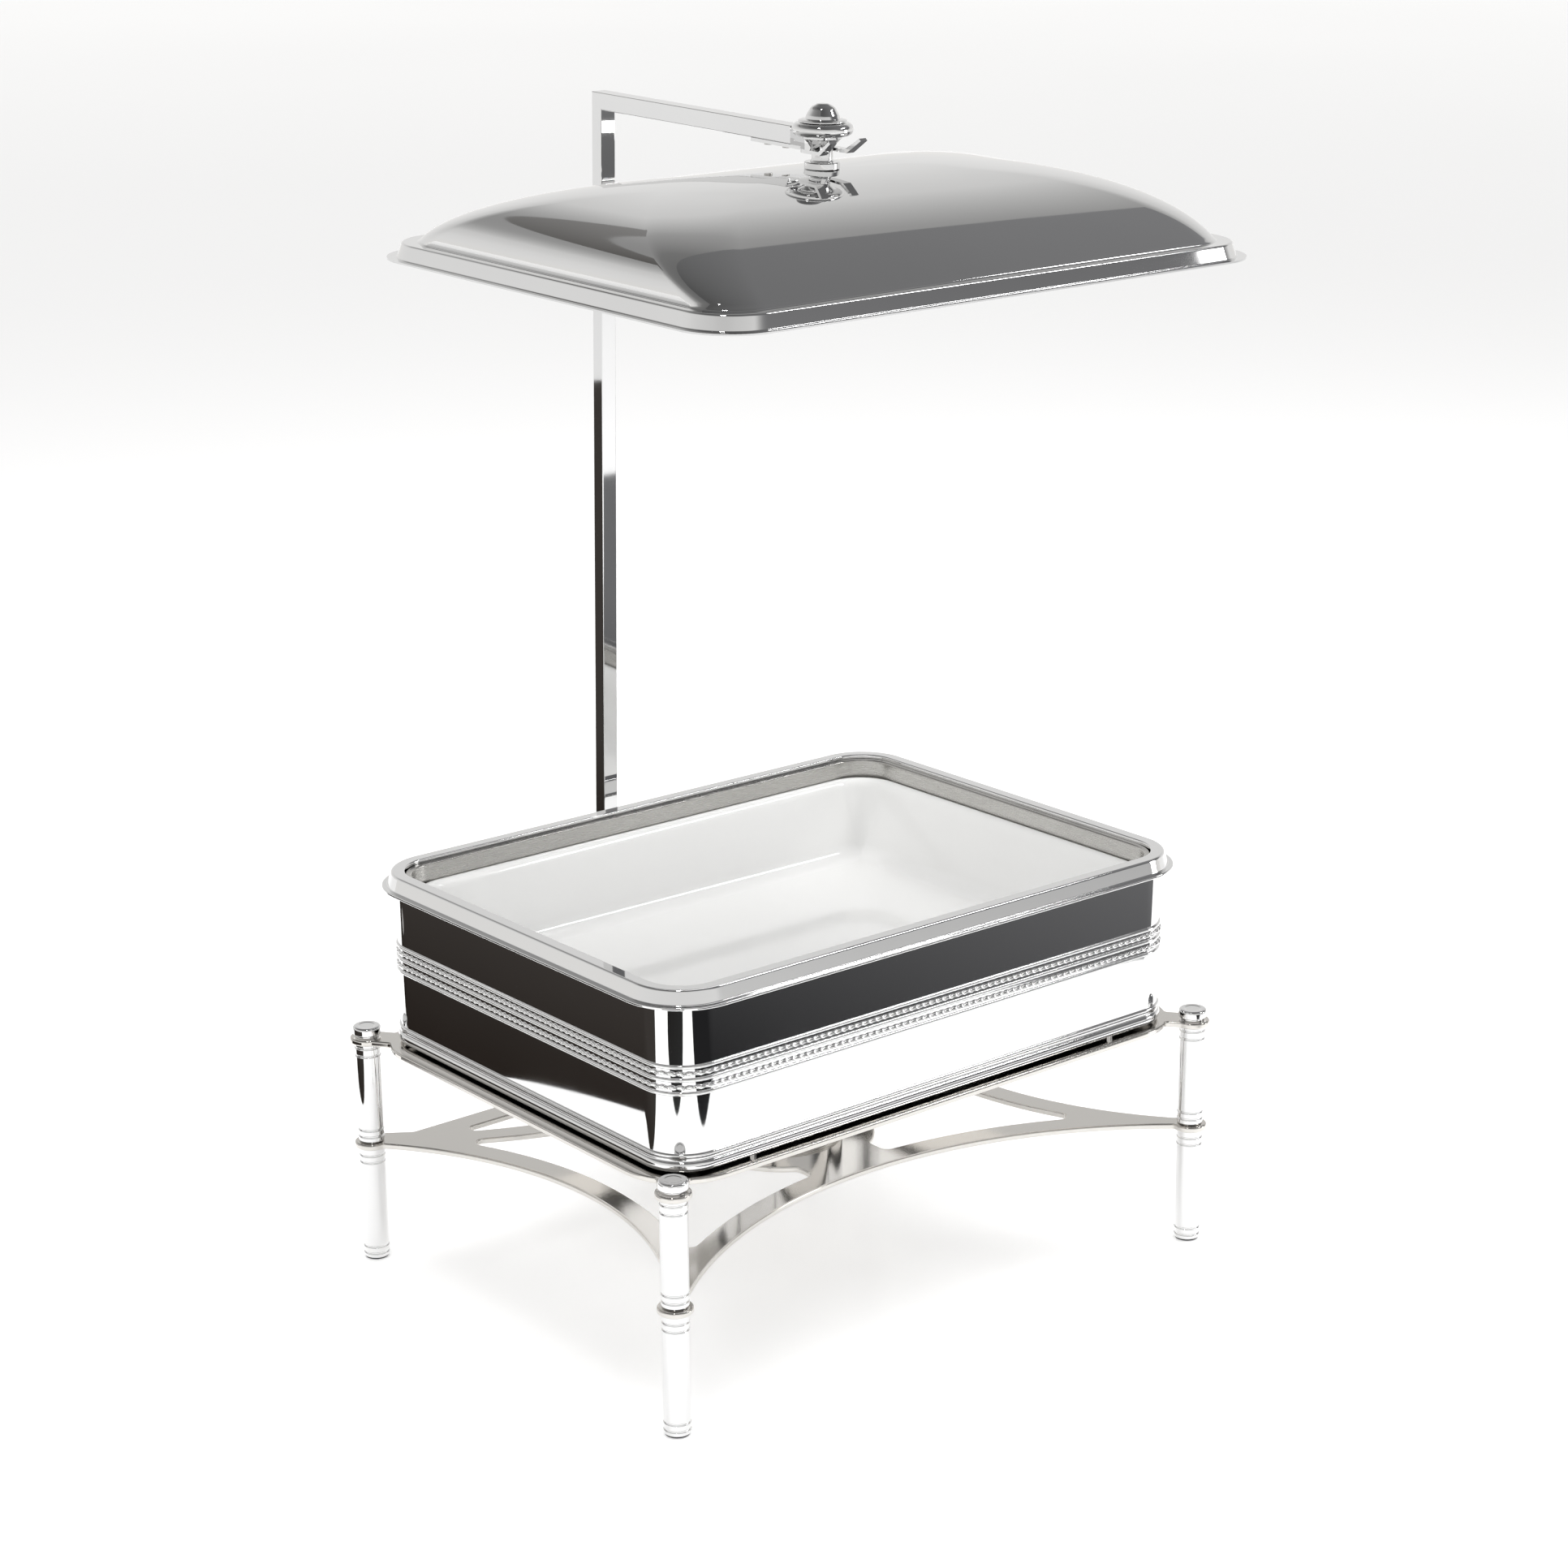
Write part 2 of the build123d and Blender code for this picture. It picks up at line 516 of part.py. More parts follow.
SOCKET_BOLT_Y = 239.5
SLEEVE_TOP, CUP_TOP = -88.0, -184.0
SCREW_LEVEL = -103.0


def bar(profile_y, low, high):
    """Upright rounded bar of the holder's width."""
    return Pos(0, 0, low) * extrude(RectangleRounded(BAR_X, profile_y, 0.7), high - low)


def corner_prism(outline):
    """Prism across the holder through (y, z) points, wider than the bar."""
    return Pos(-20, 0, 0) * extrude(Plane.YZ * make_face(Polyline(outline, close=True)), 40)


def post_bar():
    """Upright bar, mitred at its top."""
    inner, outer, under = -BAR_Y / 2, BAR_Y / 2, ARM_TOP - BAR_H
    keep = corner_prism([(outer, POST_END), (outer, ARM_TOP), (inner, under), (inner, POST_END)])
    return bar(BAR_Y, POST_END, ARM_TOP + 5) & keep


def arm_bar():
    """Level bar, mitred against the post, with a square end."""
    inner, outer, under = -BAR_Y / 2, BAR_Y / 2, ARM_TOP - BAR_H
    length = outer + 10 - ARM_END
    blank = Pos(0, ARM_END, ARM_TOP - BAR_H / 2) * Rot(-90, 0, 0) * extrude(RectangleRounded(BAR_X, BAR_H, 0.7),
                                                                           length)
    keep = corner_prism([(outer, ARM_TOP), (ARM_END, ARM_TOP), (ARM_END, under), (inner, under)])
    arm = blank & keep
    for y in hook_screw_spots():
        arm -= rod(1.6, under - 1, under + 6.2, 0, y)
    return arm


def fork_hook():
    """Flat fork under the arm: tail, two prongs and ramped tips that keep the knob from sliding off."""
    top, bottom = ARM_TOP - BAR_H, ARM_TOP - BAR_H - FORK_T
    ahead = 14.0
    ramp_run, ramp_rise = 12.5, 8.6
    prong_w = 7.0
    tail = Pos(0, (ARM_END + 44 + KNOB_Y) / 2) * Rectangle(BAR_X, ARM_END + 44 - KNOB_Y)
    plan = tail + Pos(0, KNOB_Y) * Circle(SLOT_R + prong_w)
    plan += Pos(0, KNOB_Y - ahead / 2) * Rectangle(2 * (SLOT_R + prong_w), ahead)
    plan = soften(plan, 7.0, lambda x, y: y > KNOB_Y + 5 and y < ARM_END + 20 and abs(x) > 2)
    plan -= Pos(0, KNOB_Y) * Circle(SLOT_R)
    plan -= Pos(0, KNOB_Y - 30) * Rectangle(2 * SLOT_R, 60)
    fork = Pos(0, 0, bottom) * extrude(plan, FORK_T)
    y0 = KNOB_Y - ahead
    side = corner_prism([(y0, bottom), (y0, top), (y0 - ramp_run, top + ramp_rise),
                         (y0 - ramp_run - 1.6, top + ramp_rise - 1.6), (y0 - 1.5, bottom)])
    for s in (-1, 1):
        inner, outer, splay = s * SLOT_R, s * (SLOT_R + prong_w), s * 2.6
        tip = [(inner, y0), (outer, y0), (outer + splay * 0.6, y0 - ramp_run - 3), (inner + splay, y0 - ramp_run - 3)]
        plan_tip = Pos(0, 0, bottom - 5) * extrude(make_face(Polyline(tip, close=True)), 30)
        fork += side & plan_tip
    for y in hook_screw_spots():
        fork -= rod(1.7, bottom - 1, top + 1, 0, y)
    return fork


def hook_screw_spots():
    """Positions of the two screws that hold the fork to the arm."""
    return (ARM_END + 12, ARM_END + 32)


def hook_screws():
    """Countersunk-size screws from below into the arm."""
    under = ARM_TOP - BAR_H
    return [rod(1.5, under - FORK_T - 0.5, under + 6, 0, y) + rod(3.0, under - FORK_T - 1.6, under - FORK_T, 0, y)
            for y in hook_screw_spots()]


def socket_blank(low, high):
    """Rounded square tube outline of the sockets."""
    return Pos(0, 0, low) * extrude(RectangleRounded(SOCKET_X, SOCKET_Y, 3), high - low)


def socket_foot(level):
    """Foot plate of a socket, flat on its tab."""
    foot = Pos(0, POST_Y + 9.4, level) * extrude(RectangleRounded(30, 34, 4), 3)
    return foot - rod(1.7, level - 1, level + 4, 0, SOCKET_BOLT_Y)


def above(level):
    """Everything over a horizontal plane, near the post."""
    return Pos(0, POST_Y, level + 50) * Box(80, 80, 100)


def bar_space(low, high):
    """Space the post needs, with its running clearance."""
    return Pos(0, 0, low) * extrude(Rectangle(BAR_X + 2 * SLIP, BAR_Y + 2 * SLIP), high - low)


def upper_socket():
    """Sleeve on the tub plate's tab that steadies the post, tapped at the back for the thumb screw."""
    place = holder_frame()
    body = (place * socket_blank(-125, SLEEVE_TOP)) & above(PLATE_TOP)
    body += socket_foot(PLATE_TOP)
    body -= place * bar_space(-140, SLEEVE_TOP + 5)
    return body - place * across(2.6, 0, 40, 0, SCREW_LEVEL)


def lower_socket():
    """Cup on the shelf's tab that takes the post's weight."""
    place = holder_frame()
    body = (place * socket_blank(-210, CUP_TOP)) & above(SHELF_TOP)
    body += socket_foot(SHELF_TOP)
    return body - place * bar_space(POST_END - 0.1, CUP_TOP + 5)


def thumb_screw():
    """Clamping screw with a coin-edged head."""
    head = across(8, SOCKET_Y / 2 + 1.0, SOCKET_Y / 2 + 8.5, 0, SCREW_LEVEL)
    for k in range(18):
        a = math.radians(20 * k)
        head -= across(0.7, SOCKET_Y / 2, SOCKET_Y / 2 + 9, 8 * math.cos(a), SCREW_LEVEL + 8 * math.sin(a))
    return head + across(2.5, BAR_Y / 2 + 0.15, SOCKET_Y / 2 + 3, 0, SCREW_LEVEL)


def build_holder():
    place = holder_frame()
    write("post_bar", place * post_bar(), CHROME)
    write("arm_bar", place * arm_bar(), CHROME)
    write("fork_hook", place * fork_hook(), CHROME)
    write("hook_screws", Compound(children=[place * s for s in hook_screws()]), SATIN)
    write("upper_socket", upper_socket(), CHROME)
    write("lower_socket", lower_socket(), CHROME)
    write("thumb_screw", place * thumb_screw(), CHROME)
    bolts = [rod(1.5, level - PLATE_T - 1, level + 4, 0, SOCKET_BOLT_Y)
             + rod(3.0, level + 3, level + 5, 0, SOCKET_BOLT_Y) for level in (PLATE_TOP, SHELF_TOP)]
    write("socket_screws", Compound(children=bolts), SATIN)


# ---- Lid and knob ----

DOME_STEPS = 10
END_RISE, END_CURVE = 2.5, 3.67
SIDE_RISE, SIDE_CURVE = 1.2, 1.93
SEAM = DOME_TOP


def dome_sections(drop, shrink):
    """Rounded-rectangle sections of the dome from its foot to its crown."""
    foot = LID_BASE + SKIRT_H
    sections = []
    for k in range(DOME_STEPS):
        t = 0.98 * math.sin(0.5 * math.pi * k / (DOME_STEPS - 1))
        half_x = DOME_X * (1 - t ** END_RISE) ** (1 / END_CURVE) - shrink
        half_y = DOME_Y * (1 - t ** SIDE_RISE) ** (1 / SIDE_CURVE) - shrink
        radius = min(DOME_R * (1 + 0.335 * t) - shrink, 0.96 * half_y)
        sections.append((foot + (DOME_TOP - foot) * t - drop, half_x, half_y, radius))
    return sections


def lid_solid(inset):
    """Filled lid, or the filled space inside it when inset by the sheet thickness."""
    skirt = tapered([(LID_BASE - (1 if inset else 0), 246.6 - inset, 187.6 - inset, 36.5 - inset),
                     (LID_BASE + SKIRT_H - inset, 243.6 - inset, 184.1 - inset, 34 - inset)])
    dome = tapered(dome_sections(inset, inset))
    crown = dome_sections(inset, inset)[-1]
    cap = tapered([crown, (DOME_TOP - inset, 12.6, 12.6, 12.5)])
    return skirt + dome + cap


def lid_shell():
    """Pressed lid: thin flange, slanted skirt, flat ledge and a soft four-sided dome."""
    outer = lid_solid(0)
    outer += rounded_block(LID_X, LID_Y, LID_R, LID_BASE, LID_BASE + LID_SHEET)
    return outer - lid_solid(LID_SHEET) - rod(4.2, LID_BASE, DOME_TOP + 5)


def knob_collar():
    """Collar at the foot of the knob, just clear of the lid's crown."""
    body = turned([(12.3, SEAM + 0.15), (12.6, SEAM + 0.5), (12.6, SEAM + 4.4), (12.0, SEAM + 5.0)])
    return body - rod(4.05, SEAM - 1, SEAM + 6)


FORK_TOP = ARM_TOP - BAR_H


def knob_neck():
    """Waisted neck that hangs in the fork by its cone, with the disc that carries the grip."""
    body = turned([(8.6, SEAM + 5.0), (7.9, SEAM + 6.2), (NECK_R, SEAM + 8.0), (NECK_R, FORK_TOP - 0.6),
                   (8.0, FORK_TOP + 0.2), (10.2, FORK_TOP + 3.6), (12.9, FORK_TOP + 6.4),
                   (13.85, FORK_TOP + 7.0), (13.85, FORK_TOP + 8.6), (13.2, FORK_TOP + 9.0)])
    return body - rod(3.2, SEAM, FORK_TOP + 20)


def knob_grip():
    """Round grip disc with a full, soft edge."""
    level = FORK_TOP + 13.4
    disc = turned([(17.4, level - 4.4), (17.4, level + 4.4)])
    disc += Pos(0, 0, level) * Torus(17.2, 4.4)
    return disc - rod(3.2, level - 6, level + 6)


def knob_finial():
    """Thin disc and bell-shaped top, closed over the spindle's end."""
    level = FORK_TOP + 17.8
    profile = [(15.6, level), (17.1, level + 0.8), (17.1, level + 1.6), (15.2, level + 2.1), (12.3, level + 2.6),
               (11.7, level + 4.4), (10.3, level + 7.4), (8.2, level + 10.2), (5.6, level + 12.0),
               (2.8, level + 12.8), (0.8, level + 13.0)]
    return turned(profile) - rod(3.2, level - 1, level + 6)


def build_lid():
    place = lid_frame()
    write("lid_shell", place * lid_shell(), CHROME)
    write("knob_collar", place * knob_collar(), CHROME)
    write("knob_neck", place * knob_neck(), CHROME)
    write("knob_grip", place * knob_grip(), CHROME)
    write("knob_finial", place * knob_finial(), CHROME)
    spindle = rod(3.1, SEAM + 1, FORK_TOP + 23) + rod(4.0, DOME_TOP - 9, SEAM + 5)
    write("knob_spindle", place * spindle, SATIN)
    inner = DOME_TOP - LID_SHEET
    washer = tube(9, 4.1, inner - 1.5, inner)
    write("lid_washer", place * washer, SATIN)
    nut = Pos(0, 0, inner - 6.0) * extrude(RegularPolygon(7.4, 6), 4.2) - rod(4.02, DOME_TOP - 12, DOME_TOP)
    write("spindle_nut", place * nut, SATIN)


os.makedirs("parts", exist_ok=True)
build_legs()
write("tub_plate", tub_plate(), CHROME)
write("lower_shelf", lower_shelf(), CHROME)
build_tub()
write("water_pan", water_pan(), SATIN)
write("food_pan", food_pan(), WHITE)
build_heater()
build_holder()
build_lid()
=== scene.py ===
"""Looks of a polished electric buffet server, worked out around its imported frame. All lengths are metres."""

import json
import math

import bmesh
import bpy
import numpy as np
from bpy.props import FloatProperty, FloatVectorProperty, PointerProperty
from mathutils import Matrix, Vector


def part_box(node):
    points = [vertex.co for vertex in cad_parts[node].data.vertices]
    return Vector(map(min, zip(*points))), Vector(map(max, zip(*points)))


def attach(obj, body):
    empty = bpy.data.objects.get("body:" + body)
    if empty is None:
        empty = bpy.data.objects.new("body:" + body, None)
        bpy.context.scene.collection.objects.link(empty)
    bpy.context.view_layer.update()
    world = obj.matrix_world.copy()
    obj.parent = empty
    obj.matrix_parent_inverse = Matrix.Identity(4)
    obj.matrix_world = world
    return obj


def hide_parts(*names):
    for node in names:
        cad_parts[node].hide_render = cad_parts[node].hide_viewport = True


bl_info = {
    "name": "Buffet Server",
    "version": (1, 0, 0),
    "blender": (4, 5, 0),
    "location": "3D View > Sidebar > Buffet",
    "description": "Polished stand, heated tub, porcelain pan and hanging lid around a fixed frame",
    "category": "Object",
}

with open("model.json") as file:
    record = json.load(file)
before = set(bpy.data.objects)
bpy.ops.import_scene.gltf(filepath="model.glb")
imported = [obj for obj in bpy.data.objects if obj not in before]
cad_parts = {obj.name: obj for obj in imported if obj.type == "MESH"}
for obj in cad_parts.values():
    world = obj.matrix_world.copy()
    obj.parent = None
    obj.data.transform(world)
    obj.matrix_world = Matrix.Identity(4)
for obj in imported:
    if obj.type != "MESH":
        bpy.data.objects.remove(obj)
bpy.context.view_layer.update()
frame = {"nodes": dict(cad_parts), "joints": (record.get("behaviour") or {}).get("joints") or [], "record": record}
NODES = frame["nodes"]
JOINTS = {joint["name"]: joint for joint in frame["joints"]}
MM = 0.001
MATERIALS = {}

TUB_CORNER = 32 * MM
TUB_SHEET = 1.5 * MM
RIM_CORNER = 36 * MM
TUCK = 0.3 * MM  # how far the back of a bead or moulding goes into the wall

# Levels along the axis that the lid and knob share; all but the first are counted from the lid's hinge
HINGE_LEVEL = 540 * MM
LID_BASE = 480 * MM - HINGE_LEVEL
DOME_TOP = 541.3 * MM - HINGE_LEVEL
FORK_TOP = 555.34 * MM - HINGE_LEVEL

LID_X, LID_Y, LID_CORNER = 252 * MM, 193 * MM, 40 * MM
LID_SHEET = 1.2 * MM
LID_TURN = math.radians(1.4)
SKIRT_HEIGHT = 11.5 * MM
DOME_X, DOME_Y, DOME_CORNER = 234.5 * MM, 175.0 * MM, 34 * MM
END_RISE, END_CURVE = 2.5, 3.67
SIDE_RISE, SIDE_CURVE = 1.2, 1.93
CORNER_GROWTH = 0.335

LEG_FACETS = 56
KNOB_FACETS = 72


# ---------------------------------------------------------------- settings

class BuffetFinish(bpy.types.PropertyGroup):
    """Colours and gloss of the finishes."""
    chrome: FloatVectorProperty(name="Chrome", description="Tint of the mirror plating", subtype="COLOR",
                                size=3, default=(0.80, 0.80, 0.80))
    warm: FloatVectorProperty(name="Plates", description="Tint of the two polished plates", subtype="COLOR",
                              size=3, default=(0.66, 0.64, 0.61))
    satin: FloatVectorProperty(name="Satin steel", description="Tint of brushed steel", subtype="COLOR",
                               size=3, default=(0.56, 0.55, 0.53))
    glaze: FloatVectorProperty(name="Glaze", description="Colour of the porcelain", subtype="COLOR",
                               size=3, default=(0.90, 0.90, 0.89))
    polish: FloatProperty(name="Polish", description="Roughness of the mirror plating", default=0.03)


class BuffetSizes(bpy.types.PropertyGroup):
    """Sizes that only the looks need."""
    rope_pitch: FloatProperty(name="Rope pitch", description="From one strand to the next along the rope",
                              default=0.0063, unit="LENGTH")
    rope_radius: FloatProperty(name="Rope radius", description="Mean radius of the rope bead",
                               default=0.00145, unit="LENGTH")


# ---------------------------------------------------------------- shapes

def soft_profile(corners, steps=5):
    """Polyline of (across, up, radius) corners with each corner turned into an arc of that radius.

    The arc runs from one tangent point to the other about the centre on the corner's bisector, and a support
    point stands just outside each end so that the flats next to it stay flat in the shading."""
    out = [np.array(corners[0][:2])]
    for before, here, after in zip(corners[:-2], corners[1:-1], corners[2:]):
        p, radius = np.array(here[:2]), here[2]
        a, b = np.array(before[:2]) - p, np.array(after[:2]) - p
        la, lb = np.linalg.norm(a), np.linalg.norm(b)
        a, b = a / la, b / lb
        half = 0.5 * math.acos(max(-1.0, min(1.0, float(a @ b))))
        nearly_straight = half > 1.55
        if radius <= 0 or nearly_straight:
            out.append(p)
            continue
        cut = min(radius / math.tan(half), 0.42 * la, 0.42 * lb)
        radius = cut * math.tan(half)
        bisector = (a + b) / np.linalg.norm(a + b)
        centre = p + bisector * radius / math.sin(half)
        start, end = p + a * cut - centre, p + b * cut - centre
        turn = math.atan2(start[0] * end[1] - start[1] * end[0], float(start @ end))
        t = np.linspace(0, turn, steps + 1)
        arc = centre + np.c_[start[0] * np.cos(t) - start[1] * np.sin(t),
                             start[0] * np.sin(t) + start[1] * np.cos(t)]
        out += [p + a * cut * 1.12, *arc, p + b * cut * 1.12]
    out.append(np.array(corners[-1][:2]))
    return np.array(out)


def corner_track(half_x, half_y, radius, count=0):
    """Once round a rounded rectangle: which corner centre (as signs) and which way out, at each sample.

    With a count the samples are even along the outline; without one they are 20 to each corner and a few to
    each side. The sign pair and the angle change in proportion to the distance run, one at a time."""
    side_x, side_y, arc = 2 * (half_x - radius), 2 * (half_y - radius), 0.5 * math.pi * radius
    lengths = np.array([arc, side_x, arc, side_y, arc, side_x, arc, side_y])
    stops = np.r_[0, np.cumsum(lengths)]
    sign_x = np.array([1, 1, -1, -1, -1, -1, 1, 1, 1.0])
    sign_y = np.array([1, 1, 1, 1, -1, -1, -1, -1, 1.0])
    angle = np.radians([0, 90, 90, 180, 180, 270, 270, 360, 360])
    if count:
        s = np.linspace(0, stops[-1], count, endpoint=False)
    else:
        curved, straight = np.linspace(0, 1, 21)[:-1], np.array([0, 0.006, 0.25, 0.5, 0.75, 0.994])
        s = np.concatenate([stops[k] + lengths[k] * (straight if k % 2 else curved) for k in range(8)])
    return np.interp(s, stops, sign_x), np.interp(s, stops, sign_y), np.interp(s, stops, angle), s, stops[-1]


def framed(track, half_x, half_y, radius, z):
    """Grid of rounded rectangles: corner centre plus radius along the angle.

    The corner centre is the sign times what the half size has over the radius."""
    sign_x, sign_y, angle = (np.asarray(v)[:, None] for v in track[:3])
    sizes = np.broadcast_arrays(half_x, half_y, radius, z)
    half_x, half_y, radius, z = (np.asarray(v, float)[None, :] for v in sizes)
    x = sign_x * (half_x - radius) + radius * np.cos(angle)
    y = sign_y * (half_y - radius) + radius * np.sin(angle)
    return np.stack([x, y, np.broadcast_to(z, x.shape)], axis=-1)


def framed_profile(half_x, half_y, radius, profile):
    """Profile of (outwards, up) carried round a rounded rectangle."""
    d = profile[:, 0]
    return framed(corner_track(half_x, half_y, radius), half_x + d, half_y + d, radius + d, profile[:, 1])


def lathe(profile, steps=64, centre=(0.0, 0.0)):
    """Profile of (radius, up) turned about the upright axis through centre."""
    angle = np.linspace(0, 2 * math.pi, steps, endpoint=False)[:, None]
    r, z = profile[None, :, 0], profile[None, :, 1]
    return np.stack([centre[0] + r * np.cos(angle), centre[1] + r * np.sin(angle),
                     np.broadcast_to(z, (steps, profile.shape[0]))], axis=-1)


def skin(name, grid, body, material, replaces=(), closed=False, place=None):
    """Mesh from a grid of points: wrapped the first way, and the second way too when closed.

    Doubled points at poles are merged, and the faces are turned outwards by the sign of the volume they hold.
    Edges sharper than 48 degrees stay sharp in the shading, which keeps the flat walls beside them flat."""
    rows, cols = grid.shape[:2]
    u = np.arange(rows)[:, None]
    v = np.arange(cols if closed else cols - 1)[None, :]
    un, vn = (u + 1) % rows, (v + 1) % cols
    quads = np.stack([u * cols + v, un * cols + v, un * cols + vn, u * cols + vn], axis=-1).reshape(-1, 4)
    points = grid.reshape(-1, 3)
    a, b, c, d = (points[quads[:, k]] for k in range(4))
    volume = np.einsum("ij,ij->i", a, np.cross(b, c)).sum() + np.einsum("ij,ij->i", a, np.cross(c, d)).sum()
    if volume < 0:
        quads = quads[:, ::-1]
    mesh = bpy.data.meshes.new(name)
    mesh.from_pydata(points.tolist(), [], quads.tolist())
    work = bmesh.new()
    work.from_mesh(mesh)
    bmesh.ops.remove_doubles(work, verts=work.verts, dist=1e-7)
    work.to_mesh(mesh)
    work.free()
    if place is not None:
        mesh.transform(place)
    mesh.polygons.foreach_set("use_smooth", np.ones(len(mesh.polygons), dtype=bool))
    mesh.set_sharp_from_angle(angle=math.radians(48))
    mesh.update()
    piece = bpy.data.objects.new(name, mesh)
    bpy.context.scene.collection.objects.link(piece)
    piece.data.materials.append(MATERIALS[material])
    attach(piece, body)
    if replaces:
        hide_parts(*replaces)
    return piece


def half_box(node):
    """Half sizes in plan, and the lowest and highest levels, of a node centred on the upright axis."""
    low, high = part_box(node)
    return (high.x - low.x) / 2, (high.y - low.y) / 2, low.z, high.z


# ---------------------------------------------------------------- finishes

def node_material(name):
    """Empty material with its shader and its tree."""
    material = bpy.data.materials.new(name)
    material.use_nodes = True
    tree = material.node_tree
    return material, tree, tree.nodes["Principled BSDF"]


def noise(tree, scale, detail=3.0, stretch=(1, 1, 1)):
    """Noise in the piece's own coordinates, stretched as asked."""
    where = tree.nodes.new("ShaderNodeTexCoord")
    mapping = tree.nodes.new("ShaderNodeMapping")
    mapping.inputs["Scale"].default_value = stretch
    texture = tree.nodes.new("ShaderNodeTexNoise")
    texture.inputs["Scale"].default_value = scale
    texture.inputs["Detail"].default_value = detail
    tree.links.new(where.outputs["Object"], mapping.inputs["Vector"])
    tree.links.new(mapping.outputs["Vector"], texture.inputs["Vector"])
    return texture.outputs["Fac"]


def spread(tree, source, low, high):
    """Noise from about 0.3 to 0.7 spread over low to high."""
    remap = tree.nodes.new("ShaderNodeMapRange")
    remap.inputs["From Min"].default_value = 0.3
    remap.inputs["From Max"].default_value = 0.7
    remap.inputs["To Min"].default_value = low
    remap.inputs["To Max"].default_value = high
    tree.links.new(source, remap.inputs["Value"])
    return remap.outputs["Result"]


def bump(tree, shader, source, strength, distance):
    """Small relief on the shader's normal."""
    relief = tree.nodes.new("ShaderNodeBump")
    relief.inputs["Strength"].default_value = strength
    relief.inputs["Distance"].default_value = distance
    tree.links.new(source, relief.inputs["Height"])
    tree.links.new(relief.outputs["Normal"], shader.inputs["Normal"])


def tint(tree, shader, source, dark, light):
    """Colour that wanders between two near tones."""
    ramp = tree.nodes.new("ShaderNodeValToRGB")
    ramp.color_ramp.elements[0].position = 0.32
    ramp.color_ramp.elements[1].position = 0.68
    ramp.color_ramp.elements[0].color = (*dark, 1)
    ramp.color_ramp.elements[1].color = (*light, 1)
    tree.links.new(source, ramp.inputs["Fac"])
    tree.links.new(ramp.outputs["Color"], shader.inputs["Base Color"])


def shade(colour, factor):
    """Colour made darker or lighter."""
    return tuple(min(1.0, c * factor) for c in colour)


def metal(name, colour, rough, grain=None, wave=0.0):
    """Metal with a little unevenness in its polish; grain is (scale, stretch, relief) for a brushed one."""
    material, tree, shader = node_material(name)
    shader.inputs["Metallic"].default_value = 1.0
    patches = noise(tree, 9.0, 4.0)
    tint(tree, shader, patches, shade(colour, 0.985), shade(colour, 1.01))
    if grain:
        scale, stretch, relief = grain
        lines = noise(tree, scale, 2.0, stretch)
        tree.links.new(spread(tree, lines, rough * 0.75, rough * 1.3), shader.inputs["Roughness"])
        bump(tree, shader, lines, relief, 0.0002)
    else:
        tree.links.new(spread(tree, patches, rough * 0.7, rough * 1.4), shader.inputs["Roughness"])
        if wave:
            bump(tree, shader, noise(tree, 14.0, 1.0), wave, 0.0006)
    MATERIALS[name] = material


def dull(name, colour, rough, scale, relief, coat=0.0):
    """Plastic, rubber or ceramic with a fine surface and a slight play of tone."""
    material, tree, shader = node_material(name)
    tint(tree, shader, noise(tree, scale * 0.1, 3.0), shade(colour, 0.93), shade(colour, 1.05))
    fine = noise(tree, scale, 2.0)
    tree.links.new(spread(tree, fine, rough * 0.85, rough * 1.15), shader.inputs["Roughness"])
    shader.inputs["Coat Weight"].default_value = coat
    shader.inputs["Coat Roughness"].default_value = 0.05
    bump(tree, shader, fine, relief, 0.0002)
    MATERIALS[name] = material


def lens(name, colour):
    """Clear coloured plastic with a faint unevenness."""
    material, tree, shader = node_material(name)
    tint(tree, shader, noise(tree, 60.0), shade(colour, 0.8), colour)
    shader.inputs["Roughness"].default_value = 0.12
    shader.inputs["Transmission Weight"].default_value = 0.35
    shader.inputs["Coat Weight"].default_value = 0.6
    MATERIALS[name] = material


class BUFFET_OT_finishes(bpy.types.Operator):
    """Make every finish and give each frame node the one its material slot names."""
    bl_idname = "buffet.finishes"
    bl_label = "Finishes"

    def execute(self, context):
        look = context.scene.buffet_finish
        metal("chrome", tuple(look.chrome), look.polish)
        metal("lid_chrome", tuple(look.chrome), look.polish, wave=0.03)
        metal("warm_plate", tuple(look.warm), 0.09)
        metal("satin_steel", tuple(look.satin), 0.26, grain=(40.0, (1, 1, 30), 0.12))
        metal("steel_fasteners", shade(look.satin, 0.95), 0.22, grain=(500.0, (1, 1, 6), 0.1))
        metal("hot_plate", (0.09, 0.09, 0.09), 0.42, grain=(260.0, (1, 1, 1), 0.25))
        metal("brass_pins", (0.72, 0.55, 0.28), 0.18)
        dull("porcelain", tuple(look.glaze), 0.10, 14.0, 0.02, coat=0.5)
        dull("dark_rubber", (0.03, 0.03, 0.03), 0.7, 900.0, 0.2)
        dull("black_plastic", (0.018, 0.018, 0.019), 0.38, 1400.0, 0.12)
        dull("insulation", (0.78, 0.76, 0.70), 0.85, 320.0, 0.3)
        lens("amber_lens", (0.80, 0.24, 0.03))
        for part in frame["record"]["subparts"]:
            node = NODES[part["node"]]
            node.data.materials.clear()
            node.data.materials.append(MATERIALS[part["material_slot"]])
        return {"FINISHED"}


# ---------------------------------------------------------------- tub

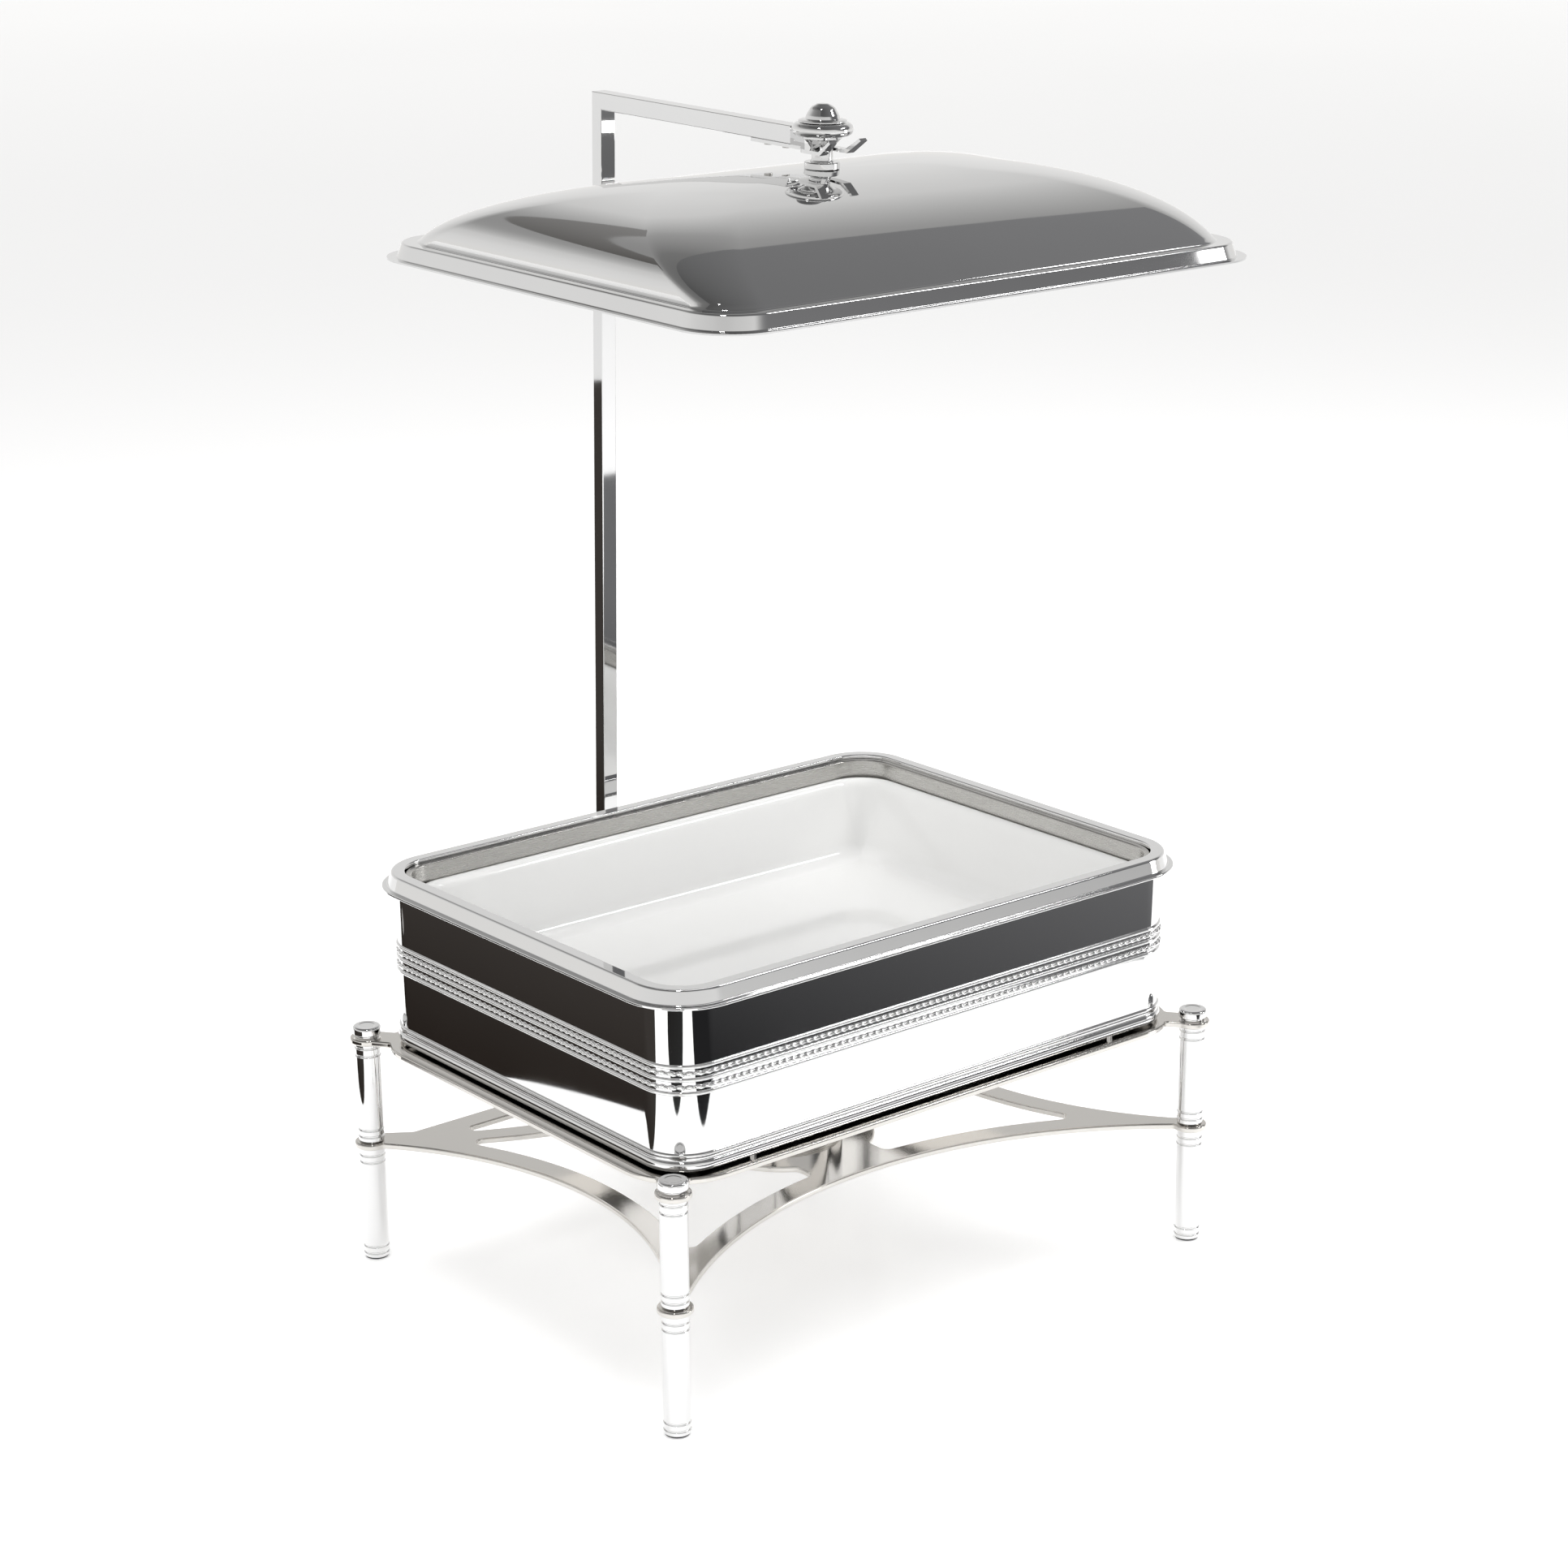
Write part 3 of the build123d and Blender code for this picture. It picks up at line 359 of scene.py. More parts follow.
class BUFFET_OT_tub(bpy.types.Operator):
    """Polished tub body, rim with skirt and flange, foot moulding and plain beads."""
    bl_idname = "buffet.tub"
    bl_label = "Tub"

    def execute(self, context):
        half_x, half_y, floor, top = half_box("tub_shell")
        rim_x, _, rim_low, rim_top = half_box("rim_frame")
        self.body(half_x, half_y, floor, top)
        self.rim(half_x, half_y, rim_x, rim_low, rim_top)
        self.moulding(half_x, half_y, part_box("base_moulding"))
        low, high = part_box("band_beads")
        bead_height, bead_proud, middle_bead = 3.0 * MM, 1.35 * MM, 11.5 * MM
        levels = (low.z + bead_height / 2, low.z + middle_bead, high.z - bead_height / 2)
        for index, level in enumerate(levels):
            bead = framed_profile(half_x, half_y, TUB_CORNER, self.half_round(level, bead_height, bead_proud))
            skin(f"plain_bead_{index + 1}", bead, "stand", "chrome",
                 ("band_beads",) if index == 0 else (), True)
        return {"FINISHED"}

    @staticmethod
    def body(half_x, half_y, floor, top):
        """Sheet wall and floor.

        The floor's rings pass evenly from the wall's outline to the heater's round hole."""
        drum_gap, edge, ring_count = 5 * MM, 12 * MM, 6
        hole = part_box("heater_drum")[1].x + drum_gap
        inner_floor = floor + TUB_SHEET
        down = soft_profile([(0, top, 0), (0, floor, 1.2 * MM), (-edge, floor, 0)])
        back = soft_profile([
            (-edge, inner_floor, 0), (-TUB_SHEET, inner_floor, 1 * MM), (-TUB_SHEET, top, 0)])
        part = np.linspace(0, 1, ring_count + 1)
        sizes = []
        for outline in (half_x, half_y, TUB_CORNER):
            ring = outline - edge + (hole - outline + edge) * part
            sizes.append(np.r_[outline + down[:, 0], ring[1:], ring[::-1][:-1], outline + back[:, 0]])
        level = np.r_[down[:, 1], np.full(ring_count, floor), np.full(ring_count, inner_floor), back[:, 1]]
        grid = framed(corner_track(half_x, half_y, TUB_CORNER), *sizes, level)
        skin("tub_body", grid, "stand", "chrome", ("tub_shell",), True)

    @staticmethod
    def half_round(level, height, proud):
        """Half ellipse standing on the wall: out = proud times cosine, up = half the height times sine."""
        t = np.linspace(-0.5 * math.pi, 0.5 * math.pi, 11)
        arc = np.c_[proud * np.cos(t), level + 0.5 * height * np.sin(t)]
        return np.r_[arc, [[-TUCK, level + 0.5 * height], [-TUCK, level - 0.5 * height]]]

    @staticmethod
    def rim(half_x, half_y, rim_x, low, top):
        """Rim from its lip over the flat top, down the slanted skirt and out round the thin flange."""
        lip, lip_back, lip_low = -6.0 * MM, -4.5 * MM, top - 4.2 * MM
        skirt_top, skirt_low, skirt_back = 4.2 * MM, 7.4 * MM, 2.2 * MM
        flange, flange_top = rim_x - half_x, low + 2.3 * MM
        underside = top - 1.5 * MM
        profile = soft_profile([
            (lip, lip_low, 0), (lip, top, 1.1 * MM), (skirt_top, top, 1.9 * MM),
            (skirt_low, flange_top, 0.9 * MM), (flange, flange_top, 0.85 * MM), (flange, low, 0.85 * MM),
            (skirt_back, low, 0.2 * MM), (skirt_back, underside, 0.2 * MM), (lip_back, underside, 0),
            (lip_back, lip_low, 0), (lip, lip_low, 0)], steps=6)[:-1]
        grid = framed_profile(half_x, half_y, RIM_CORNER, profile)
        skin("tub_rim", grid, "stand", "chrome", ("rim_frame",), True)

    @staticmethod
    def moulding(half_x, half_y, box):
        """Foot moulding: full bead, cove and slim bead.

        Both beads are a little fuller than an ellipse: out = proud times cosine to the power 0.8."""
        z = box[0].z
        full_proud, slim_proud, fullness = 2.15 * MM, 1.45 * MM, 0.8
        t = np.linspace(-0.5 * math.pi, 0.5 * math.pi, 11)
        full_bead = np.c_[full_proud * np.cos(t) ** fullness, z + (1.4 + 3.6 * np.sin(t)) * MM]
        cove_t = np.linspace(0.15, math.pi - 0.15, 9)
        cove = np.c_[(1.1 - 0.7 * np.sin(cove_t)) * MM, z + (6.5 - 1.5 * np.cos(cove_t)) * MM]
        slim_bead = np.c_[slim_proud * np.cos(t) ** fullness, z + (9.5 + 1.45 * np.sin(t)) * MM]
        back = np.array([[-TUCK, z + 11 * MM], [-TUCK, z - 2.2 * MM]])
        grid = framed_profile(half_x, half_y, TUB_CORNER, np.r_[full_bead, cove, slim_bead, back])
        skin("foot_moulding", grid, "stand", "chrome", ("base_moulding",), True)


class BUFFET_OT_ropes(bpy.types.Operator):
    """Two twisted rope beads round the tub."""
    bl_idname = "buffet.ropes"
    bl_label = "Rope beads"

    def execute(self, context):
        sizes = context.scene.buffet_sizes
        half_x, half_y = half_box("tub_shell")[:2]
        stand_off = 0.1 * MM
        for name in ("rope_bead_upper", "rope_bead_lower"):
            low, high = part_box(name)
            grid = self.twisted(half_x + stand_off, half_y + stand_off, (low.z + high.z) / 2, sizes)
            skin(name + "_twist", grid, "stand", "chrome", (name,), True)
        return {"FINISHED"}

    @staticmethod
    def twisted(half_x, half_y, level, sizes):
        """Two-strand rope carried round the wall: radius = mean times (1 + 0.26 cos(2 around - turns along)).

        The strands' number round the tub is whole, so the rope joins itself."""
        samples, facets, strand_depth = 3600, 12, 0.26
        track = corner_track(half_x, half_y, TUB_CORNER, samples)
        along, total = track[3], track[4]
        strands = round(total / sizes.rope_pitch)
        around = np.linspace(0, 2 * math.pi, facets, endpoint=False)[None, :]
        wave = np.cos(2 * around - 2 * math.pi * strands * along[:, None] / total)
        section = sizes.rope_radius * (1 + strand_depth * wave)
        out, up = section * np.cos(around), section * np.sin(around)
        sign_x, sign_y, angle = (v[:, None] for v in track[:3])
        reach = TUB_CORNER + out
        x = sign_x * (half_x - TUB_CORNER) + reach * np.cos(angle)
        y = sign_y * (half_y - TUB_CORNER) + reach * np.sin(angle)
        return np.stack([x, y, level + up], axis=-1)


# ---------------------------------------------------------------- pans

def to_centre(half_x, half_y, radius, profile, level_end, steps=6):
    """Profile round a rounded rectangle, then the last ring drawn in to the middle at one level."""
    out, z = profile[:, 0], profile[:, 1]
    least_corner = 2 * MM
    x, y, r = half_x + out, half_y + out, np.maximum(radius + out, least_corner)
    shrink = np.linspace(1, 0, steps + 1)[1:]
    x = np.r_[x, x[-1] * shrink]
    y = np.r_[y, y[-1] * shrink]
    r = np.r_[r, r[-1] * shrink]
    return x, y, r, np.r_[z, np.full(steps, level_end)]


class BUFFET_OT_pans(bpy.types.Operator):
    """Satin water pan and white porcelain food pan."""
    bl_idname = "buffet.pans"
    bl_label = "Pans"

    def execute(self, context):
        self.water()
        self.food()
        return {"FINISHED"}

    @staticmethod
    def water():
        """Sheet pan with a flange, a step in the wall and a flat floor.

        The rows run from the middle of the floor up the inside, round the flange and down the outside."""
        flange_x, _, floor, top = half_box("water_pan")
        wall_x, wall_y, radius, step = 230.6 * MM, 170.6 * MM, 28 * MM, 296 * MM
        wall_sheet, floor_sheet = 1.1 * MM, 1.2 * MM
        flange, foot = flange_x - wall_x, -18.6 * MM
        ring = foot - 12 * MM
        inner_floor, under_step = floor + floor_sheet, step - floor_sheet
        inner = soft_profile([
            (flange, top, 0), (-wall_sheet, top, 1.4 * MM), (-wall_sheet, step, 0.8 * MM),
            (-5.1 * MM, step, 0.8 * MM), (foot - wall_sheet, inner_floor, 5 * MM), (ring, inner_floor, 0)])
        outer = soft_profile([
            (flange, top - wall_sheet, 0), (0, top - wall_sheet, 0.3 * MM), (0, under_step, 0.6 * MM),
            (-4.0 * MM, under_step, 0.6 * MM), (foot, floor, 5 * MM), (ring, floor, 0)])
        inside = to_centre(wall_x, wall_y, radius, inner, inner_floor)
        outside = to_centre(wall_x, wall_y, radius, outer, floor)
        both = [np.r_[a[::-1], b] for a, b in zip(inside, outside)]
        grid = framed(corner_track(wall_x, wall_y, radius), *both)
        skin("water_pan_sheet", grid, "water_pan", "satin_steel", ("water_pan",))

    @staticmethod
    def food():
        """Slim rounded rim, sloped walls and a floor with generous fillets, glazed inside and out."""
        rim_x, rim_y, floor, top = half_box("food_pan")
        radius, seat, inner_floor = 34 * MM, top - 4.0 * MM, floor + 6 * MM
        rim_edge, ring = -4.4 * MM, -64 * MM
        edge = soft_profile([
            (rim_edge, seat, 0), (0, seat, 0.9 * MM), (0, top, 1.9 * MM), (-2.0 * MM, top, 0)])
        roll = np.array([(-2.0, 0.0), (-4.2, -0.5), (-6.6, -2.4), (-8.6, -6.4)]) * MM + (0, top)
        wall = soft_profile([(-8.6 * MM, top - 6.4 * MM, 0), (-32 * MM, inner_floor, 17 * MM),
                             (ring, inner_floor, 0)], steps=10)
        under = soft_profile([(rim_edge, seat, 0), (-27 * MM, floor, 13 * MM), (ring, floor, 0)], steps=8)
        inside = to_centre(rim_x, rim_y, radius, np.r_[edge[:-1], roll, wall[1:]], inner_floor)
        outside = to_centre(rim_x, rim_y, radius, under, floor)
        both = [np.r_[a[::-1], b[1:]] for a, b in zip(inside, outside)]
        grid = framed(corner_track(rim_x, rim_y, radius), *both)
        skin("porcelain_pan", grid, "food_pan", "porcelain", ("food_pan",))


# ---------------------------------------------------------------- legs

class BUFFET_OT_legs(bpy.types.Operator):
    """Leg barrels with rolled rings, and their flat caps."""
    bl_idname = "buffet.legs"
    bl_label = "Legs"

    def execute(self, context):
        upper_grooves = (173.7 * MM, 167.4 * MM, 107.1 * MM, 101.7 * MM)
        lower_grooves = (86.2 * MM, 80.7 * MM, 10.8 * MM, 5.4 * MM)
        for tag in ("fl", "fr", "bl", "br"):
            for half, grooves in (("upper", upper_grooves), ("lower", lower_grooves)):
                node = f"leg_{half}_{tag}"
                low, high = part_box(node)
                profile = self.ringed(low.z, high.z, (high.x - low.x) / 2, grooves)
                grid = lathe(profile, LEG_FACETS, ((low.x + high.x) / 2, (low.y + high.y) / 2))
                skin(f"barrel_{half}_{tag}", grid, "stand", "chrome", (node,))
        self.caps()
        return {"FINISHED"}

    @staticmethod
    def ringed(low, high, radius, grooves):
        """Straight wall with rounded ends and round-bottomed ring grooves, closed at both ends."""
        wide, deep, lip = 0.95 * MM, 0.95 * MM, 0.35 * MM
        corners = [(0, high, 0), (radius, high, 0.9 * MM)]
        for z in grooves:
            corners += [(radius, z + wide, lip), (radius - deep, z + 0.45 * wide, lip),
                        (radius - deep, z - 0.45 * wide, lip), (radius, z - wide, lip)]
        corners += [(radius, low, 1.6 * MM), (0, low, 0)]
        return soft_profile(corners, steps=3)

    @staticmethod
    def caps():
        """Narrow neck, then a head with rounded edges and a faint dished top, on each leg."""
        low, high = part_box("leg_caps")
        radius, neck = 10.75 * MM, 9.2 * MM
        z, top = low.z, high.z
        profile = soft_profile([(0, z, 0), (neck, z, 0.3 * MM), (neck, z + 2.0 * MM, 0.4 * MM),
                                (radius, z + 2.3 * MM, 0.9 * MM), (radius, top, 1.8 * MM),
                                (6.5 * MM, top, 0.6 * MM), (5.6 * MM, top - 0.25 * MM, 0.5 * MM),
                                (0, top - 0.3 * MM, 0)], steps=5)
        x, y = high.x - radius, high.y - radius
        for index, spot in enumerate(((-x, -y), (x, -y), (-x, y), (x, y))):
            skin(f"leg_cap_{index + 1}", lathe(profile, LEG_FACETS, spot), "stand", "chrome",
                 ("leg_caps",) if index == 0 else ())


# ---------------------------------------------------------------- lid and knob

def lid_place():
    """The lid's own frame: origin on the hinge, up along its axis, leaning and turned as it hangs."""
    hinge = JOINTS["lid_turn"]
    axis = Vector(hinge["axis"])
    lean = math.atan2(-axis.y, axis.z)
    spin = Matrix.Rotation(lean, 4, "X") @ Matrix.Rotation(LID_TURN, 4, "Z")
    return Matrix.Translation(hinge["pos_m"]) @ spin


class BUFFET_OT_lid(bpy.types.Operator):
    """Pressed lid with a thin flange, slanted skirt, ledge and a soft four-sided dome."""
    bl_idname = "buffet.lid"
    bl_label = "Lid"

    def execute(self, context):
        outer = self.face(0.0)
        inner = self.face(LID_SHEET)
        both = [np.r_[a, b[::-1]] for a, b in zip(outer, inner)]
        grid = framed(corner_track(LID_X, LID_Y, LID_CORNER), *both)
        skin("lid_sheet", grid, "lid", "lid_chrome", ("lid_shell",), place=lid_place())
        return {"FINISHED"}

    @staticmethod
    def face(inset):
        """One face of the sheet from the crown to the flange, set in by inset.

        Dome, at t of its rise: half length = full times (1 - t to 2.5) to the power 1 / 3.67, half width =
        full times (1 - t to 1.2) to the power 1 / 1.93, and corners that grow with t. Above it the last ring
        is drawn in to the middle, and below it the ledge, skirt and flange are a soft profile."""
        foot = LID_BASE + SKIRT_HEIGHT
        crown_share, dome_rings, crown_rings = 0.994, 44, 5
        rise = crown_share * np.sin(np.linspace(0.5 * math.pi, 0.03, dome_rings))
        dome_z = foot + (DOME_TOP - foot) * rise - inset
        dome_x = DOME_X * (1 - rise ** END_RISE) ** (1 / END_CURVE) - inset
        dome_y = DOME_Y * (1 - rise ** SIDE_RISE) ** (1 / SIDE_CURVE) - inset
        dome_r = np.minimum(DOME_CORNER * (1 + CORNER_GROWTH * rise), dome_y * 0.97)
        shrink = np.linspace(0, 1, crown_rings + 1)[:-1]
        crown_z = DOME_TOP - inset - (DOME_TOP - inset - dome_z[0]) * shrink ** 2
        dome_x, dome_y = np.r_[dome_x[0] * shrink, dome_x], np.r_[dome_y[0] * shrink, dome_y]
        dome_r, dome_z = np.r_[dome_r[0] * shrink, dome_r], np.r_[crown_z, dome_z]
        ledge = foot - inset
        flange, flange_bend = (LID_BASE, 0) if inset else (LID_BASE + LID_SHEET, 0.8 * MM)
        base = soft_profile([
            (-17.7 * MM - inset, foot + 0.9 * MM - inset, 0), (-17.0 * MM - inset, ledge, 1.2 * MM),
            (-8.4 * MM - inset, ledge, 1.6 * MM), (-5.4 * MM - inset, flange, flange_bend),
            (0, flange, 0)], steps=6)
        base_x, base_y, base_r = LID_X + base[:, 0], LID_Y + base[:, 0], LID_CORNER + base[:, 0] * 0.35
        return np.r_[dome_x, base_x], np.r_[dome_y, base_y], np.r_[dome_r, base_r], np.r_[dome_z, base[:, 1]]


class BUFFET_OT_knob(bpy.types.Operator):
    """Turned knob and collars."""
    bl_idname = "buffet.knob"
    bl_label = "Knob"

    def execute(self, context):
        place = lid_place()
        self.turn("knob_foot", "knob_collar", "knob", place, DOME_TOP, [
            (0, 0.15, 0), (12.2, 0.15, 0.2), (12.6, 0.5, 0.3), (12.6, 4.4, 0.5), (12.0, 5.0, 0.3),
            (0, 5.0, 0)])
        self.turn("knob_waist", "knob_neck", "knob", place, FORK_TOP, [
            (0, -9.04, 0), (8.6, -9.04, 0.3), (7.9, -7.9, 0.9), (7.5, -6.0, 1.0), (7.5, -0.6, 0.8),
            (8.0, 0.2, 1.2), (10.2, 3.6, 2.5), (12.9, 6.4, 1.0), (13.85, 7.0, 0.4), (13.85, 8.6, 0.4),
            (13.2, 9.0, 0.3), (0, 9.0, 0)])
        self.grip(place, FORK_TOP + 13.4 * MM)
        self.turn("knob_bell", "knob_finial", "knob", place, FORK_TOP + 17.8 * MM, [
            (0, 0, 0), (15.6, 0, 0.3), (17.1, 0.8, 0.4), (17.1, 1.6, 0.4), (15.0, 2.2, 0.5), (12.3, 2.6, 0.4),
            (11.5, 5.0, 4.0), (8.4, 10.4, 5.0), (3.6, 12.85, 4.0), (0, 12.9, 0)])
        return {"FINISHED"}

    @staticmethod
    def turn(name, node, body, place, level, corners):
        """Turned piece from corners of radius, height above level and edge radius, all in millimetres."""
        profile = soft_profile([(r * MM, level + z * MM, e * MM) for r, z, e in corners], steps=5)
        skin(name, lathe(profile, KNOB_FACETS), body, "chrome", (node,), place=place)

    @staticmethod
    def grip(place, level):
        """Grip disc: two flat faces joined by a half-round edge."""
        flat, half_height = 17.2 * MM, 4.4 * MM
        t = np.linspace(-0.5 * math.pi, 0.5 * math.pi, 21)
        edge = np.c_[flat + half_height * np.cos(t), level + half_height * np.sin(t)]
        profile = np.r_[[[0, level - half_height]], edge, [[0, level + half_height]]]
        disc = lathe(profile, KNOB_FACETS)
        skin("knob_disc", disc, "knob", "chrome", ("knob_grip",), place=place)


# ---------------------------------------------------------------- stage

def emitter(name, near, far, span):
    """Dim glowing surface whose colour passes from near to far along X between the two ends of span."""
    material = bpy.data.materials.new(name)
    material.use_nodes = True
    tree = material.node_tree
    tree.nodes.clear()
    where = tree.nodes.new("ShaderNodeTexCoord")
    split = tree.nodes.new("ShaderNodeSeparateXYZ")
    remap = tree.nodes.new("ShaderNodeMapRange")
    remap.inputs["From Min"].default_value, remap.inputs["From Max"].default_value = span
    ramp = tree.nodes.new("ShaderNodeValToRGB")
    ramp.color_ramp.elements[0].color = (*near, 1)
    ramp.color_ramp.elements[1].color = (*far, 1)
    glow = tree.nodes.new("ShaderNodeEmission")
    out = tree.nodes.new("ShaderNodeOutputMaterial")
    tree.links.new(where.outputs["Object"], split.inputs["Vector"])
    tree.links.new(split.outputs["X"], remap.inputs["Value"])
    tree.links.new(remap.outputs["Result"], ramp.inputs["Fac"])
    tree.links.new(ramp.outputs["Color"], glow.inputs["Color"])
    tree.links.new(glow.outputs["Emission"], out.inputs["Surface"])
    return material


def card(name, outline, near, far, span, level=0.004):
    """Flat studio card lying at one level, seen only in reflections.

    Three rounds of cutting the corners at a quarter of each side smooth its outline."""
    points = np.array(outline, dtype=float)
    for _ in range(3):
        after = np.roll(points, -1, axis=0)
        points = np.stack([0.75 * points + 0.25 * after, 0.25 * points + 0.75 * after], axis=1).reshape(-1, 2)
    mesh = bpy.data.meshes.new(name)
    mesh.from_pydata(np.c_[points, np.full(len(points), level)].tolist(), [], [tuple(range(len(points)))])
    panel = bpy.data.objects.new(name, mesh)
    bpy.context.scene.collection.objects.link(panel)
    panel.data.materials.append(emitter(name, near, far, span))
    panel.visible_camera = False
    panel.visible_diffuse = False
    panel.visible_shadow = False
    panel.visible_transmission = False


def softbox(name, spot, target, size, power, seen=False):
    """Soft light at a spot, turned to its target; the polished parts mirror it only when seen."""
    data = bpy.data.lights.new(name, "AREA")
    data.shape = "RECTANGLE"
    data.size, data.size_y = size
    data.energy = power
    light = bpy.data.objects.new(name, data)
    light.location = spot
    light.rotation_euler = (Vector(target) - Vector(spot)).to_track_quat("-Z", "Y").to_euler()
    light.visible_glossy = seen
    bpy.context.scene.collection.objects.link(light)


class BUFFET_OT_stage(bpy.types.Operator):
    """Pale floor, soft lights, reflection cards and the camera."""
    bl_idname = "buffet.stage"
    bl_label = "Stage"

    def execute(self, context):
        self.floor()
        self.sky(context.scene)
        softbox("overhead", (0.3, 0.2, 3.2), (0, 0, 0.3), (3.0, 2.4), 76)
        softbox("left_fill", (-2.6, -1.2, 2.2), (0, 0, 0.4), (1.6, 1.6), 26)
        softbox("right_window", (2.4, -0.6, 2.6), (0, 0, 0.5), (1.1, 1.4), 26)
        softbox("small_window", (-0.62, -0.42, 2.5), (0, 0, 0.8), (0.20, 0.15), 3, True)
        softbox("front_window", (1.9, -1.35, 2.5), (0, 0, 0.8), (0.9, 0.22), 8, True)
        softbox("side_window", (3.2, -2.2, 1.0), (0, 0, 0.6), (0.9, 1.0), 14, True)
        self.floor_cards()
        self.ceiling_cards()
        self.camera(context.scene)
        context.scene.view_settings.view_transform = "Standard"
        return {"FINISHED"}

    @staticmethod
    def floor_cards():
        """Cards just over the floor, which the upright polished walls mirror."""
        card("front_strip",
             [(-0.6, -1.5), (-0.3, -0.67), (0.2, -0.665), (0.60, -0.66), (0.74, -0.60), (0.80, -0.48),
              (1.6, -0.46), (3.4, -1.1), (3.4, -1.6)],
             (0.018, 0.018, 0.019), (0.17, 0.17, 0.175), (0.15, 0.95))
        card("left_strip",
             [(-2.4, 3.2), (-2.4, 0.9), (-0.95, 0.0), (-0.585, 0.05), (-0.55, 0.34), (-0.47, 0.50),
              (-0.45, 1.0), (-1.2, 3.2)],
             (0.05, 0.044, 0.040), (0.022, 0.017, 0.014), (-0.75, -0.50))
        card("left_lens",
             [(-0.655, 0.83), (-0.60, 0.80), (-0.565, 0.86), (-0.60, 0.92)],
             (0.30, 0.29, 0.28), (0.42, 0.41, 0.40), (-0.65, -0.57), 0.006)
        card("corner_strip",
             [(-0.98, -0.33), (-0.70, -0.44), (-0.63, -0.52), (-0.60, -0.72), (-0.9, -1.15), (-1.4, -0.9)],
             (0.02, 0.019, 0.018), (0.03, 0.03, 0.03), (-1.0, -0.6))

    @staticmethod
    def ceiling_cards():
        """Cards overhead, which the lid and the plates mirror."""
        level = 2.6
        card("ceiling",
             [(-1.1, -2.6), (3.4, -2.6), (3.2, 0.3), (1.9, 1.25), (-0.2, 1.0), (-1.3, 0.2)],
             (0.10, 0.10, 0.10), (0.24, 0.24, 0.245), (-0.8, 2.6), level)
        card("beam",
             [(-1.25, 1.72), (0.9, 2.22), (1.0, 2.46), (-1.2, 2.02)],
             (0.10, 0.095, 0.09), (0.25, 0.245, 0.24), (-1.2, 0.9), level)

    @staticmethod
    def floor():
        """Wide near-white floor with a weak gloss and a glow of its own."""
        reach = 40.0
        mesh = bpy.data.meshes.new("floor")
        mesh.from_pydata([(-reach, -reach, 0), (reach, -reach, 0), (reach, reach, 0), (-reach, reach, 0)], [],
                         [(0, 1, 2, 3)])
        ground = bpy.data.objects.new("floor", mesh)
        bpy.context.scene.collection.objects.link(ground)
        material, tree, shader = node_material("floor")
        shader.inputs["Base Color"].default_value = (0.93, 0.93, 0.93, 1)
        shader.inputs["Specular IOR Level"].default_value = 0.10
        shader.inputs["Emission Color"].default_value = (1, 1, 1, 1)
        shader.inputs["Emission Strength"].default_value = 0.36
        tree.links.new(spread(tree, noise(tree, 0.5, 1.0), 0.11, 0.13), shader.inputs["Roughness"])
        ground.data.materials.append(material)

    @staticmethod
    def sky(scene):
        """Studio surround: pale round the horizon and dark overhead.

        A soft dark patch lies high in front to the right."""
        world = bpy.data.worlds.new("studio")
        scene.world = world
        world.use_nodes = True
        tree = world.node_tree
        where = tree.nodes.new("ShaderNodeTexCoord")
        split = tree.nodes.new("ShaderNodeSeparateXYZ")
        ramp = tree.nodes.new("ShaderNodeValToRGB")
        tree.links.new(where.outputs["Generated"], split.inputs["Vector"])
        tree.links.new(split.outputs["Z"], ramp.inputs["Fac"])
        bands = ramp.color_ramp.elements
        bands[0].position, bands[0].color = 0.0, (0.86, 0.85, 0.83, 1)
        bands[1].position, bands[1].color = 1.0, (0.13, 0.13, 0.13, 1)
        for position, grey in ((0.12, 0.84), (0.28, 0.80), (0.46, 0.68), (0.60, 0.36), (0.75, 0.20)):
            bands.new(position).color = (grey, grey * 0.995, grey * 0.985, 1)
        facing = tree.nodes.new("ShaderNodeVectorMath")
        facing.operation = "DOT_PRODUCT"
        facing.inputs[1].default_value = (0.62, -0.42, 0.66)
        patch = tree.nodes.new("ShaderNodeMapRange")
        patch.interpolation_type = "SMOOTHSTEP"
        patch.inputs["From Min"].default_value, patch.inputs["From Max"].default_value = 0.74, 0.88
        blend = tree.nodes.new("ShaderNodeMix")
        blend.data_type = "RGBA"
        blend.inputs[7].default_value = (0.15, 0.15, 0.155, 1)
        tree.links.new(where.outputs["Generated"], facing.inputs[0])
        tree.links.new(facing.outputs["Value"], patch.inputs["Value"])
        tree.links.new(patch.outputs["Result"], blend.inputs[0])
        tree.links.new(ramp.outputs["Color"], blend.inputs[6])
        tree.links.new(blend.outputs[2], tree.nodes["Background"].inputs["Color"])

